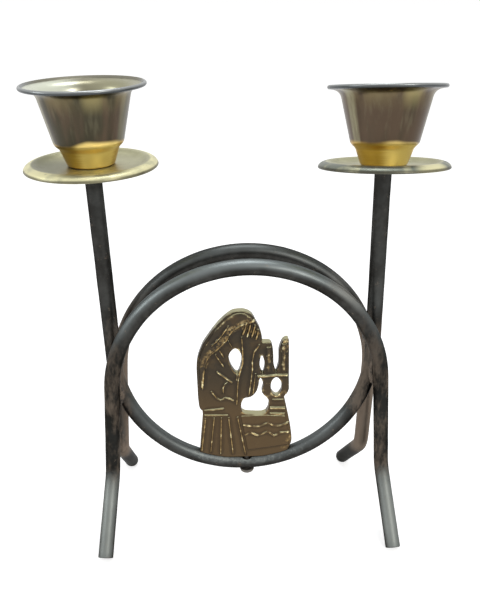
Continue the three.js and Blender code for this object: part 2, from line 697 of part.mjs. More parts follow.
function candelabra() {
  const candleRod = candleRodCentreline();
  const [leftColumn, , rightColumn] = candleRod.pieces;
  const seats = {
    left: { point: leftColumn.getPoint(0), axis: candleAxis(CANDLE_LEAN.left) },
    right: { point: rightColumn.getPoint(1), axis: candleAxis(CANDLE_LEAN.right) },
  };
  const arches = { front: archAgainst(candleRod, FRONT_ARCH), rear: archAgainst(candleRod, REAR_ARCH) };

  const figureScrew = named("figure_screw", screwGeometry(FIGURE_SCREW), MATERIALS.screw);
  figureScrew.quaternion.setFromUnitVectors(UP, loopUp.clone().negate());
  figureScrew.position.copy(loopBottom).addScaledVector(loopUp, -rodRadius - SEAT_GAP);

  const whole = new THREE.Group();
  whole.add(
    named("candle_rod", candleRodGeometry(candleRod, Object.values(seats)), MATERIALS.steel),
    named("figure_plate", figureGeometry(candleRod), MATERIALS.bronze),
    figureScrew,
  );
  for (const [place, arch] of Object.entries(arches)) {
    whole.add(named(`${place}_arch`, standingRod(arch), MATERIALS.steel));
    for (const side of ["left", "right"]) {
      whole.add(named(`weld_${place}_${side}`, weldBead(candleRod, arch, side), MATERIALS.weld));
    }
  }
  for (const side of ["left", "right"]) whole.add(candleSeat(side, seats[side]));

  // The origin is under the middle of the whole piece, on the table
  whole.updateMatrixWorld(true);
  const middle = new THREE.Box3().setFromObject(whole, true).getCenter(new THREE.Vector3());
  whole.position.set(-middle.x, -middle.y, 0);
  return whole;
}

export default candelabra();
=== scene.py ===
"""Two-arm candle holder of bent steel rod: its fine surfaces and finishes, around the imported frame."""
import math
from contextlib import contextmanager
from functools import partial, reduce

import bmesh
import bpy
import numpy as np
from bpy.props import FloatProperty, FloatVectorProperty, IntProperty, PointerProperty
from mathutils import Matrix, Vector
from mathutils import noise as vector_noise
from mathutils.geometry import interpolate_bezier


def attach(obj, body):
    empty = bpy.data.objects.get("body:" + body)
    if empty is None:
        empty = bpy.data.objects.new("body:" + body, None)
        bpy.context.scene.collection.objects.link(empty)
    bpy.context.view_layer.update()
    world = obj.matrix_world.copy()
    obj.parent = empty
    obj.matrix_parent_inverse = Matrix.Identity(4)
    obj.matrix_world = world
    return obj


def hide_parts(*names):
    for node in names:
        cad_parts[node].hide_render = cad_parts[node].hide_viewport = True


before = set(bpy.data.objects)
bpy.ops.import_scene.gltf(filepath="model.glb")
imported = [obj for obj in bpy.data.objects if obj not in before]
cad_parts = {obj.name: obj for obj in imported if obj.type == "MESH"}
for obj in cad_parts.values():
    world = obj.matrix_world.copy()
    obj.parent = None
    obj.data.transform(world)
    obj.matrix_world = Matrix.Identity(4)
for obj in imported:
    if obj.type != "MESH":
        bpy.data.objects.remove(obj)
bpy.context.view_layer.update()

bl_info = {
    "name": "Two-Arm Candle Holder",
    "version": (1, 0, 0),
    "blender": (4, 5, 0),
    "location": "View3D > Sidebar > Candle Holder",
    "description": "Bent steel rods, brass pans and cups and a cast figure, with their finishes",
    "category": "Object",
}

UP = Vector((0, 0, 1))
SIDES = {"left": -1, "right": 1}

SAME_PLACE = 1e-6  # points this close are one point
MERGE_REACH = 1e-5  # and this close where a cut or a bevel left them
POLE_RADIUS = 1e-5  # stands for a radius of nought on a turned piece
POLE_REACH = 3e-5  # joins the ring at a pole into one point


def of_side(values, side):
    """The left or the right one of two values."""
    return values[side == "right"]


def length(name, description, default):
    """A length in metres."""
    return FloatProperty(name=name, description=description, default=default, unit="LENGTH", precision=5)


def angle(name, description, degrees):
    """An angle, given here in degrees."""
    return FloatProperty(
        name=name, description=description, default=math.radians(degrees), subtype="ANGLE", unit="ROTATION"
    )


def pair(name, description, left, right):
    """Two lengths in metres, for the left and the right side."""
    return FloatVectorProperty(
        name=name, description=description, size=2, default=(left, right), unit="LENGTH", precision=5
    )


def angles(name, description, left, right):
    """Two angles, given here in degrees, for the left and the right side."""
    return FloatVectorProperty(
        name=name,
        description=description,
        size=2,
        default=(math.radians(left), math.radians(right)),
        subtype="EULER",
    )


def colour(name, description, red, green, blue):
    """A colour in linear light."""
    return FloatVectorProperty(
        name=name, description=description, size=3, default=(red, green, blue), min=0, max=1, subtype="COLOR"
    )


class RodSizes(bpy.types.PropertyGroup):
    """The round steel rod, and the loop with its two columns."""

    diameter: length("Rod Diameter", "Diameter of every rod", 0.0067)
    sides: IntProperty(name="Sides", description="Faces round each rod", default=32, min=8)
    ring_step: angle("Ring Step", "Bend from one ring of faces to the next", 2.5)
    ring_spacing: length("Ring Spacing", "From one ring of faces to the next on a straight run", 0.003)
    end_rounding: length("End Rounding", "Rounding of the rods' cut edges", 0.00035)
    unevenness: length("Unevenness", "Height of the rods' hammered unevenness", 0.00014)
    unevenness_spread: length("Unevenness Spread", "Width of one dent", 0.009)
    loop_half_width: length("Loop Half Width", "From the loop's middle to the rod's centreline", 0.0567)
    loop_depth: length("Loop Depth", "From the loop's centre down to the rod's centreline", 0.0556)
    loop_height: length("Loop Height", "Height of the loop's centre over the table", 0.0881)
    loop_lean: angle("Loop Lean", "Lean of the loop away from the viewer", 5)
    loop_turn: angle("Loop Turn", "Turn of the loop in its own plane", 1.9)
    column_splay: angle("Column Splay", "Outward lean of each column", 0.2)
    column_length: pair("Column Length", "Length of each column over the loop", 0.0849, 0.0807)


def arch_sizes(crown_radius, crown_half_angle, shoulder_radius, splay, knee_height, foot, turn_out):
    """The properties of one arch."""
    return {
        "crown_radius": length("Crown Radius", "Radius of the top of the arch", crown_radius),
        "crown_half_angle": angle("Crown Half Angle", "Bend of each half of the top", crown_half_angle),
        "shoulder_radius": length("Shoulder Radius", "Radius between the top and a leg", shoulder_radius),
        "splay": angles("Leg Splay", "Outward lean of each leg", *splay),
        "knee_height": length("Knee Height", "Height at which a leg starts to bend", knee_height),
        "knee_radius": length("Knee Radius", "Radius of the bend at each knee", 0.012),
        "foot_bend": angles("Foot Bend", "Bend of each foot out of its leg", *foot),
        "foot_turn_out": angles("Foot Turn-Out", "Outward turn of each foot", *turn_out),
        "foot_flat": length("Foot Flat", "Depth of the flat worn on each foot", 0.0006),
    }


class FrontArchSizes(bpy.types.PropertyGroup):
    """The arch nearer the viewer."""

    __annotations__ = arch_sizes(0.0576, 52.8, 0.0642, (3.9, 6.6), 0.0341, (45.4, 44), (0.8, -0.5))


class RearArchSizes(bpy.types.PropertyGroup):
    """The arch behind the loop."""

    __annotations__ = arch_sizes(0.0562, 54.2, 0.0581, (2.8, 0.3), 0.0375, (42.7, 42.1), (-3, -4.5))


class CandleSeatSizes(bpy.types.PropertyGroup):
    """The drip pans, the cups and the screws that hold them."""

    lean_right: angles("Lean To The Right", "Lean of each candle's axis to the right", -1.6, -0.9)
    lean_back: angles("Lean Back", "Lean of each candle's axis away from the viewer", 3, 11.4)
    seat_gap: length("Seat Gap", "Left between two pieces that a screw draws together", 0.0001)
    hole_radius: length("Hole Radius", "Radius of the holes that the cup screws pass through", 0.0017)
    segments: IntProperty(name="Segments", description="Faces round each pan and cup", default=96, min=24)
    pan_floor_radius: length("Pan Floor Radius", "Radius of the pan's flat floor", 0.0186)
    pan_shoulder_radius: length("Pan Shoulder Radius", "Radius of the pan's highest ring", 0.0228)
    pan_radius: length("Pan Radius", "Outer radius of the pan", 0.0258)
    pan_rise: length("Pan Rise", "Rise from the pan's floor to its shoulder", 0.0017)
    pan_rim_depth: length("Pan Rim Depth", "Depth of the rim below the shoulder", 0.0027)
    pan_sheet: length("Pan Sheet", "Thickness of the pan's sheet", 0.0009)
    cup_height: length("Cup Height", "Height of the cup", 0.0302)
    cup_sheet: length("Cup Sheet", "Thickness of the cup's sheet", 0.0008)
    cup_base_radius: length("Cup Base Radius", "Radius of the cup's base", 0.0091)
    cup_neck_radius: length("Cup Neck Radius", "Radius at the top of the neck", 0.011)
    cup_neck_height: length("Cup Neck Height", "Height of the neck", 0.0055)
    cup_waist_radius: length("Cup Waist Radius", "Radius over the step", 0.0135)
    cup_waist_height: length("Cup Waist Height", "Height over the step", 0.0093)
    cup_throat_radius: length("Cup Throat Radius", "Radius where the lip starts to flare", 0.0173)
    cup_throat_height: length("Cup Throat Height", "Height where the lip starts to flare", 0.0255)
    cup_lip_radius: pair("Cup Lip Radius", "Outer radius of the rolled lip", 0.0235, 0.0228)
    cup_lip_roll: length("Cup Lip Roll", "Radius of the rolled edge", 0.0008)
    screw_head_radius: length("Screw Head Radius", "Radius of a cup screw's head", 0.0029)
    screw_head_height: length("Screw Head Height", "Height of a cup screw's head", 0.0019)
    screw_shank_radius: length("Screw Shank Radius", "Radius of a cup screw's shank", 0.0015)
    screw_length: length("Screw Length", "Length of a cup screw's shank", 0.011)


class FigureSizes(bpy.types.PropertyGroup):
    """The cast figure, its screw and the weld beads."""

    grain: length("Casting Grain", "Size of the faces of the cast surface", 0.00017)
    kept_faces: FloatProperty(name="Kept Faces", description="Share of these faces that is kept", default=0.4)
    line_height: length("Line Height", "Height of the lines raised on the hem and the cloth", 0.0004)
    line_half_width: length("Line Half Width", "From a raised line's crest to its foot", 0.0007)
    lump: length("Lump", "Size of the lumps along a raised line", 0.0016)
    rub_reach: length("Rub Reach", "From a rubbed line to where the rub ends", 0.0019)
    wear_reach: length("Wear Reach", "How far a rubbed edge stands out of what is round it", 0.0003)
    unevenness: length("Unevenness", "Height of the casting's unevenness", 0.00012)
    softening: IntProperty(name="Softening", description="Passes that soften the casting's edges", default=3)
    screw_head_radius: length("Screw Head Radius", "Radius of the figure screw's head", 0.0033)
    screw_head_height: length("Screw Head Height", "Height of the figure screw's head", 0.0023)
    screw_shank_radius: length("Screw Shank Radius", "Radius of the figure screw's shank", 0.00125)
    screw_length: length("Screw Length", "Length of the figure screw's shank", 0.016)
    screw_clearance: length("Screw Clearance", "Left round the shank in its hole", 0.0002)
    mouth_radius: length("Mouth Radius", "Flare of the screw's hole at the top of the rod", 0.0031)
    mouth_depth: length("Mouth Depth", "Depth of that flare", 0.003)
    weld_grain: length("Weld Grain", "Size of the faces of a weld bead", 0.00022)


class Finishes(bpy.types.PropertyGroup):
    """The colours of the metals, with the light and shade that are painted on them."""

    steel: colour("Steel", "Dark gunmetal of the rods", 0.023, 0.022, 0.020)
    dulled_steel: colour("Dulled Steel", "Paler grey of cloudy patches", 0.050, 0.050, 0.047)
    # Painted light: the sides of the rods that look up are paler, as if lit from above
    lit_upper_steel: colour("Upper Steel", "Blue-grey of the sides that look up", 0.18, 0.20, 0.20)
    # Painted light: the front feet, where they look up, are painted pale grey as if lit from above
    lit_foot_steel: colour("Foot Steel", "Pale grey of the worn front feet", 0.235, 0.25, 0.235)
    # A darker tone of the front legs' steel
    dark_leg_steel: colour("Soot", "Blackened steel of the front legs", 0.008, 0.008, 0.007)
    # Painted highlight: the pale brown-grey of the front arch's right shoulder
    shoulder_highlight_steel: colour("Rubbed Steel", "Pale brown-grey of a rubbed shoulder", 0.30, 0.295, 0.27)
    rust: colour("Rust", "Brown of the rusty patches", 0.26, 0.20, 0.15)
    pan: colour("Pan Brass", "Dulled olive brass", 0.50, 0.49, 0.315)
    # Painted reflection: the dark cup reflected on the left of the left pan
    pan_cup_reflection: colour("Dark Pan", "Darkened left of the left pan", 0.165, 0.165, 0.105)
    # Partly painted light: the rim's paler brass, which also colours the painted glints
    rim_brass_and_glint: colour("Pan Rim", "Paler brass of the pan's rim", 0.76, 0.72, 0.44)
    grey_rim: colour("Grey Rim", "Greyer rim of the right pan", 0.19, 0.205, 0.17)
    patina: colour("Cup Patina", "Dark olive-brown outside of the cups", 0.050, 0.044, 0.029)
    brown_patina: colour("Brown Patina", "Browner bands of the cups", 0.088, 0.062, 0.042)
    # Olive streaks of the cups, partly painted reflections
    pale_patina_and_reflection: colour("Pale Patina", "Olive streaks of the cups", 0.235, 0.215, 0.135)
    gold: colour("Gold", "Bright brass of the cups' necks", 0.58, 0.36, 0.065)
    # Paler rings of the necks, and the colour of their painted highlight on one side
    pale_gold_and_highlight: colour("Pale Gold", "Rubbed rings of the necks", 1.0, 0.76, 0.27)
    # Painted highlight: the olive gold under the cups' lips
    lip_highlight_brass: colour("Rubbed Brass", "Olive gold under the cups' lips", 0.40, 0.34, 0.15)
    inside: colour("Cup Inside", "Olive-grey inside of the cups", 0.20, 0.185, 0.13)
    # Painted light: the paler left of the inside
    lit_inside: colour("Pale Inside", "Paler left of the inside", 0.66, 0.68, 0.56)
    # Lit and shaded copies of the rolled lip: painted shade on the dark blue-grey, painted light on the pale
    # top
    lip: colour("Cup Lip", "Dark blue-grey of the rolled edge", 0.070, 0.076, 0.080)
    lit_lip_top: colour("Upper Lip", "Pale top of the rolled edge", 0.31, 0.325, 0.32)
    bronze: colour("Bronze", "Dark brown of the casting", 0.038, 0.033, 0.025)
    dark_bronze: colour("Dark Bronze", "Darkest hollows of the casting", 0.014, 0.013, 0.012)
    warm_bronze: colour("Warm Bronze", "Browner patches of the casting", 0.098, 0.064, 0.032)
    rubbed_bronze: colour("Rubbed Bronze", "Gold of the casting's rubbed ridges", 0.36, 0.24, 0.095)
    # Painted highlights: the brightest spots of the ridges
    ridge_highlight_bronze: colour("Bright Bronze", "Brightest spots of the ridges", 0.80, 0.72, 0.42)
    # Painted light: the pale olive of the casting's edges that look up, where they would reflect the sky
    lit_upper_bronze: colour("Upper Bronze", "Pale olive of its edges that look up", 0.44, 0.42, 0.25)
    screw: colour("Screw", "Blackened steel", 0.135, 0.128, 0.115)


class StageSizes(bpy.types.PropertyGroup):
    """The camera, the lamps and the floor."""

    camera_place: FloatVectorProperty(
        name="Camera Place",
        description="Where the camera stands",
        size=3,
        default=(-0.01081, -0.25461, 0.24901),
        subtype="TRANSLATION",
        unit="LENGTH",
    )
    yaw: angle("Yaw", "Turn of the view to the right", 2.6)
    pitch: angle("Pitch", "Tilt of the view downward", 28.29)
    roll: angle("Roll", "Roll of the view, clockwise", -0.686)
    lens: FloatProperty(name="Lens", description="Focal length in millimetres", default=40.11)
    lamp_power: FloatProperty(name="Lamp Power", description="Power of the main lamp in watts", default=1.5)
    sky: FloatProperty(name="Sky", description="Strength of the light from all round", default=0.5)


# Shaping pieces


def only(piece):
    """Makes the piece the only selected object."""
    bpy.ops.object.select_all(action="DESELECT")
    bpy.context.view_layer.objects.active = piece
    piece.select_set(True)


@contextmanager
def edit_mode(piece):
    """Edit mode on one piece, with nothing in its mesh selected."""
    only(piece)
    bpy.ops.object.mode_set(mode="EDIT")
    bpy.ops.mesh.select_mode(type="VERT")
    bpy.ops.mesh.select_all(action="DESELECT")
    yield
    bpy.ops.object.mode_set(mode="OBJECT")


def pick(piece, test):
    """Selects the points whose place passes the test, with what lies between them."""
    mesh = bmesh.from_edit_mesh(piece.data)
    for face in mesh.faces:
        face.select = False
    for edge in mesh.edges:
        edge.select = False
    for point in mesh.verts:
        point.select = bool(test(point.co))
    mesh.select_flush(True)
    bmesh.update_edit_mesh(piece.data)


def modified(piece, kind, **settings):
    """Adds a modifier and applies it."""
    only(piece)
    modifier = piece.modifiers.new(kind.title(), kind)
    for name, value in settings.items():
        setattr(modifier, name, value)
    bpy.ops.object.modifier_apply(modifier=modifier.name)


def placed(piece, matrix):
    """Moves a piece that was modelled upright to its place, which goes into its mesh."""
    only(piece)
    piece.matrix_world = matrix
    bpy.ops.object.transform_apply(location=True, rotation=True, scale=True)
    return piece


def cut(piece, tool):
    """Cuts one piece out of another, and deletes the tool."""
    modified(piece, "BOOLEAN", operation="DIFFERENCE", solver="EXACT", object=tool)
    bpy.data.objects.remove(tool)


def merged(piece, reach=MERGE_REACH):
    """Merges points that lie on one another, and clears what is left without a face."""
    with edit_mode(piece):
        bpy.ops.mesh.select_all(action="SELECT")
        bpy.ops.mesh.remove_doubles(threshold=reach)
        bpy.ops.mesh.dissolve_degenerate(threshold=reach)
        bpy.ops.mesh.delete_loose()


def uneven(piece, height, scale):
    """A soft unevenness of the surface, as a real form."""
    texture = bpy.data.textures.new("unevenness", "CLOUDS")
    texture.noise_scale = scale
    texture.noise_depth = 2
    modified(piece, "DISPLACE", texture=texture, strength=height, mid_level=0.5, texture_coords="LOCAL")


def smooth(piece, degrees=35):
    """Smooth shading, with the sharp edges kept."""
    only(piece)
    bpy.ops.object.shade_smooth_by_angle(angle=math.radians(degrees))


# What a finish reads from the points of its piece

LOOKS_INWARD = -0.1  # how far outward the lining's points look at most
LOOKS_UP = 0.35  # or how far up they look at least
LIP_REACH = 1.25  # from the middle of a cup's rolled lip, in radii of the roll
SIDEWAYS_LOSS = 0.8  # what standing out sideways takes from a point's wear


def rows_of(piece, kind):
    """The places or the normals of a mesh's points, one row each."""
    rows = np.empty(3 * len(piece.data.vertices))
    piece.data.vertices.foreach_get(kind, rows)
    return rows.reshape(-1, 3)


def places(piece):
    """The places of a mesh's points, one row each."""
    return rows_of(piece, "co")


def keep(piece, name, values):
    """Keeps one number for each point, which the piece's finish reads."""
    attribute = piece.data.attributes.new(name, "FLOAT", "POINT")
    attribute.data.foreach_set("value", values.astype(float))


def keep_upright_place(piece):
    """Keeps each point's place on the upright piece, which its finish follows once it is tilted."""
    attribute = piece.data.attributes.new("upright", "FLOAT_VECTOR", "POINT")
    attribute.data.foreach_set("vector", places(piece).ravel())


def keep_lining(piece):
    """Keeps which points of an upright turned piece look inward or up, as its lining does."""
    rest = places(piece)
    normals = rows_of(piece, "normal")
    radius = np.maximum(np.hypot(rest[:, 0], rest[:, 1]), SAME_PLACE)
    outward = (rest[:, :2] * normals[:, :2]).sum(axis=1) / radius
    keep(piece, "lining", (outward < LOOKS_INWARD) | (normals[:, 2] > LOOKS_UP))


def keep_lip(piece, lip_radius, height, roll):
    """Keeps which points of an upright cup are on its rolled lip."""
    rest = places(piece)
    radius = np.hypot(rest[:, 0], rest[:, 1])
    apart = np.hypot(radius - (lip_radius - roll), rest[:, 2] - (height - roll))
    keep(piece, "lip", apart < LIP_REACH * roll)


def keep_wear(piece, front, reach, passes):
    """Keeps how far each point stands out to the front of what is round it, less at the outer edges."""
    rest = places(piece)
    ends = np.empty(2 * len(piece.data.edges), int)
    piece.data.edges.foreach_get("vertices", ends)
    ends = np.concatenate([ends.reshape(-1, 2), ends.reshape(-1, 2)[:, ::-1]])
    count = np.bincount(ends[:, 0], minlength=len(rest))[:, None]
    around = rest.copy()
    for _ in range(passes):
        near = [np.bincount(ends[:, 0], around[ends[:, 1], k], minlength=len(rest)) for k in range(3)]
        around = np.stack(near, axis=1) / count
    away = rest - around
    forward = away @ np.array(front)
    sideways = np.linalg.norm(away - forward[:, None] * front, axis=1)
    keep(piece, "wear", (forward - SIDEWAYS_LOSS * sideways) / reach)


def nearness(piece, lines, half_width):
    """1 on lines over the front of a plate in the plane y = 0, 0 at a distance, each line (x, z) points."""
    rest = places(piece)
    near = np.zeros(len(rest))
    flat = rest[:, [0, 2]]
    for line in lines:
        for start, end in zip(np.array(line), np.array(line)[1:]):
            along = np.clip((flat - start) @ (end - start) / ((end - start) @ (end - start)), 0, 1)
            apart = np.linalg.norm(flat - start - along[:, None] * (end - start), axis=1)
            near = np.maximum(near, 1 - (apart / half_width) ** 2)
    near[rest[:, 1] > 0] = 0
    return near


# Shaping the casting and the weld beads

LINE_SHARE, LUMP_SHARE = 0.75, 0.6  # of a raised line's height: its mean, and what its lumps add and take


def emboss(piece, lines, height, half_width, lumps):
    """Raises lumpy lines on the front of a plate."""
    rest = places(piece)
    raised = nearness(piece, lines, half_width)
    group = piece.vertex_groups.new(name="raised")
    for index in np.flatnonzero(raised > 0):
        lump = LINE_SHARE + LUMP_SHARE * vector_noise.noise(Vector(rest[index]) / lumps)
        group.add([int(index)], min(1, max(0, raised[index] * lump)), "REPLACE")
    modified(piece, "DISPLACE", direction="Y", strength=-height, mid_level=0, vertex_group="raised")


def copy_of(node, name):
    """A piece that starts as a copy of a CAD node's mesh, its loose triangles joined up."""
    piece = bpy.data.objects.new(name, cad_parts[node].data.copy())
    bpy.context.scene.collection.objects.link(piece)
    piece.data.materials.clear()
    with edit_mode(piece):
        bpy.ops.mesh.select_all(action="SELECT")
        bpy.ops.mesh.remove_doubles(threshold=SAME_PLACE)
    return piece


def remeshed(piece, grain, softening, unevenness, scale):
    """An even, softened surface with the unevenness of a casting."""
    modified(piece, "REMESH", mode="VOXEL", voxel_size=grain, adaptivity=0)
    modified(piece, "SMOOTH", factor=0.5, iterations=softening)
    uneven(piece, unevenness, scale)


def finished(piece, node, material):
    """Gives a piece its finish and sets it on the frame in the place of its CAD node."""
    piece.data.materials.clear()
    piece.data.materials.append(material)
    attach(piece, "root")
    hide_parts(node)


# Reading the frame

LOOP_BAND = 0.6  # half the height of the loop's slice at its centre, in diameters of the rod
APEX_BAND = 0.001  # half the width of an arch's slice at its top
APEX_DEPTH = 0.0075  # of that slice, which is more than the rod's diameter
KNEE_BAND = 0.0007  # half the height of a leg's slice at its knee


def node_points(node):
    """The places of a CAD node's points, one row each."""
    return places(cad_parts[node])


def ring_centre(points, chosen):
    """The middle of the chosen points, which lie in a ring."""
    return Vector(points[chosen].mean(axis=0))


def loop_frame(sizes):
    """The loop's own directions at its centre: x across, y away from the viewer, z up."""
    leaning_up = Vector((0, math.sin(sizes.loop_lean), math.cos(sizes.loop_lean)))
    viewer = Vector((1, 0, 0)).cross(leaning_up)
    up = Matrix.Rotation(sizes.loop_turn, 3, viewer) @ leaning_up
    across = up.cross(viewer)

    points = node_points("candle_rod")
    level = abs(points[:, 2] - sizes.loop_height) < LOOP_BAND * sizes.diameter
    ends = [ring_centre(points, level & (points[:, 0] * hand > 0)) for hand in SIDES.values()]
    centre = (ends[0] + ends[1]) / 2 + up * sizes.loop_depth * math.sin(sizes.column_splay)
    turn = Matrix((across, -viewer, up)).transposed()
    return Matrix.LocRotScale(centre, turn, None)


def column_end(sizes, side):
    """The end of a column's centreline, and its direction, in the loop's frame."""
    hand = SIDES[side]
    splay = sizes.column_splay
    across = hand * sizes.loop_half_width
    foot = Vector((across * math.cos(splay), 0, -sizes.loop_depth * math.sin(splay)))
    direction = Vector((across * math.sin(splay), 0, sizes.loop_depth * math.cos(splay)))
    direction.normalize()
    return foot + direction * of_side(sizes.column_length, side), direction


def candle_frame(side):
    """The seat at the end of a column: z runs up along the candle's axis."""
    rods = bpy.context.scene.rod_sizes
    candles = bpy.context.scene.candle_seat_sizes
    to_right, back = of_side(candles.lean_right, side), of_side(candles.lean_back, side)
    axis = Vector((math.tan(to_right), math.tan(back), 1)).normalized()
    end, _ = column_end(rods, side)
    seat = loop_frame(rods) @ end
    return Matrix.LocRotScale(seat, UP.rotation_difference(axis), None)


def arch_frame(node, sizes):
    """An arch's apex and knees, and its directions across and up."""
    points = node_points(node)
    top = points[points[:, 2].argmax()]
    ring = abs(points[:, 0] - top[0]) < APEX_BAND
    apex = ring_centre(points, ring & (points[:, 2] > top[2] - APEX_DEPTH))
    level = abs(points[:, 2] - sizes.knee_height) < KNEE_BAND
    knees = {side: ring_centre(points, level & (points[:, 0] * hand > 0)) for side, hand in SIDES.items()}
    back = (apex - (knees["left"] + knees["right"]) / 2).cross(knees["right"] - knees["left"]).normalized()
    across = back.cross(UP).normalized()
    return apex, knees, across, across.cross(back)


# Rods

ON_RING = 1e-5  # how far along the rod a point of its end ring may lie
RING_MARGIN = 1.1  # and how far from its middle, in radii
FEWEST_STEPS = 8  # in a bend
MERGED_SHARE = 0.25  # of a rounding: edges shorter than this would stop it
BAR_SIDES = 48
SAW_REACH = 4  # how far the filing tool reaches past a column's end, in diameters of the rod
COLUMN_FOOT_BAND = 0.0001  # half the height of the slice in which a column's first ring lies


class BentRod:
    """A round rod drawn out of its own end ring, one straight run or bend after another."""

    def __init__(self, name, start, direction, sizes):
        self.sizes = sizes
        self.radius = sizes.diameter / 2
        turn = Vector(direction).to_track_quat("Z", "Y").to_euler()
        bpy.ops.mesh.primitive_circle_add(
            vertices=sizes.sides,
            radius=self.radius,
            location=start,
            rotation=turn,
        )
        self.piece = bpy.context.object
        self.piece.name = name
        bpy.ops.object.transform_apply(location=True, rotation=True, scale=True)
        self.hold(start, direction)

    def hold(self, end, direction):
        """Takes hold of the ring at one end, to draw the rod on in a direction."""
        self.end = Vector(end)
        self.direction = Vector(direction).normalized()

    def pick_end(self):
        """Selects the ring at the end that is held."""
        pick(
            self.piece,
            lambda place: abs((place - self.end).dot(self.direction)) < ON_RING
            and (place - self.end).length < RING_MARGIN * self.radius,
        )

    def run(self, distance):
        """A straight run."""
        steps = math.ceil(distance / self.sizes.ring_spacing)
        step = self.direction * distance / steps
        for _ in range(steps):
            bpy.ops.mesh.extrude_region_move(TRANSFORM_OT_translate={"value": step})
        self.end += self.direction * distance

    def bend(self, axis, radius, turn):
        """A bend about an axis by the right-hand rule."""
        inward = axis.cross(self.direction).normalized()
        centre = self.end + inward * radius
        steps = max(FEWEST_STEPS, round(turn / self.sizes.ring_step))
        bpy.ops.mesh.spin(steps=steps, angle=-turn, center=centre, axis=axis)
        rotation = Matrix.Rotation(turn, 3, axis)
        self.end = centre + rotation @ (self.end - centre)
        self.direction = rotation @ self.direction

    def close(self):
        """Closes both ends."""
        bpy.ops.mesh.select_all(action="SELECT")
        bpy.ops.mesh.fill_holes(sides=0)
        bpy.ops.mesh.select_all(action="SELECT")
        bpy.ops.mesh.normals_make_consistent(inside=False)

    def round_edges(self):
        """Rounds the edges that the cuts left."""
        merged(self.piece, MERGED_SHARE * self.sizes.end_rounding)
        modified(self.piece, "BEVEL", width=self.sizes.end_rounding, segments=3, limit_method="ANGLE")
        merged(self.piece)
        smooth(self.piece)


def bar(matrix, bottom, top, radius, far_radius):
    """A round bar along a frame's z axis, which may widen towards its top."""
    bpy.ops.mesh.primitive_cone_add(
        vertices=BAR_SIDES,
        radius1=radius,
        radius2=far_radius,
        depth=top - bottom,
        location=(0, 0, (top + bottom) / 2),
    )
    piece = bpy.context.object
    bpy.ops.object.transform_apply(location=True, rotation=True, scale=True)
    return placed(piece, matrix)


def draw_loop(rod, sizes, bottom, across):
    """Draws the loop from its bottom up to both sides, and a column on from each side."""
    for hand in SIDES.values():
        rod.hold(bottom, across * hand)
        rod.pick_end()
        rod.bend(Vector((0, -hand, 0)), sizes.loop_half_width, math.pi / 2 - sizes.column_splay)
    bpy.ops.mesh.select_all(action="SELECT")
    flatter = sizes.loop_depth / sizes.loop_half_width
    bpy.ops.transform.resize(value=(1, 1, flatter), center_override=(0, 0, 0))
    for side in SIDES:
        end, direction = column_end(sizes, side)
        column = of_side(sizes.column_length, side)
        rod.hold(end - direction * column, direction)
        foot = rod.end.copy()
        reach = RING_MARGIN * rod.radius
        pick(
            rod.piece,
            lambda place: (place - foot).length < reach and abs(place.z - foot.z) < COLUMN_FOOT_BAND,
        )
        rod.run(column + sizes.diameter)


class CANDLE_OT_candle_rod(bpy.types.Operator):
    """Bend the loop with its two columns, and file and drill it"""

    bl_idname = "candle.candle_rod"
    bl_label = "Candle Rod"

    def execute(self, context):
        sizes = context.scene.rod_sizes
        figure = context.scene.figure_sizes
        candles = context.scene.candle_seat_sizes
        across = Vector((1, 0, 0))
        bottom = Vector((0, 0, -sizes.loop_half_width))
        rod = BentRod("candle_rod_fine", bottom, across, sizes)
        with edit_mode(rod.piece):
            draw_loop(rod, sizes, bottom, across)
            rod.close()
        uneven(rod.piece, sizes.unevenness, sizes.unevenness_spread)
        loop = loop_frame(sizes)
        placed(rod.piece, loop)

        reach = SAW_REACH * sizes.diameter
        depth = candles.screw_length + candles.seat_gap
        for side in SIDES:
            seat = candle_frame(side)
            cut(rod.piece, bar(seat, 0, reach, reach, reach))
            cut(rod.piece, bar(seat, -depth, reach, candles.hole_radius, candles.hole_radius))
        foot = loop @ Matrix.Translation((0, 0, -sizes.loop_depth))
        hole = figure.screw_shank_radius + figure.screw_clearance
        cut(rod.piece, bar(foot, -sizes.diameter, sizes.diameter, hole, hole))
        mouth = sizes.diameter / 2 + candles.seat_gap
        cut(rod.piece, bar(foot, mouth - figure.mouth_depth, mouth, hole, figure.mouth_radius))
        rod.round_edges()
        finished(rod.piece, "candle_rod", metal("gunmetal_steel", steel_look))
        return {"FINISHED"}


def draw_half_arch(rod, sizes, side, knee, across, up, forward):
    """Draws one half of an arch from its apex to the end of its foot."""
    hand = SIDES[side]
    turning = up.cross(across * hand)
    rod.bend(turning, sizes.crown_radius, sizes.crown_half_angle)
    shoulder = math.pi / 2 - of_side(sizes.splay, side) - sizes.crown_half_angle
    rod.bend(turning, sizes.shoulder_radius, shoulder)
    rod.run((knee - rod.end).length)
    turn_out = of_side(sizes.foot_turn_out, side)
    kick = Vector((hand * math.sin(turn_out), forward * math.cos(turn_out), 0))
    rod.bend(rod.direction.cross(kick).normalized(), sizes.knee_radius, of_side(sizes.foot_bend, side))
    end_drop = rod.radius * math.sqrt(1 - rod.direction.z**2)
    rod.run((rod.end.z - end_drop + sizes.foot_flat) / -rod.direction.z)


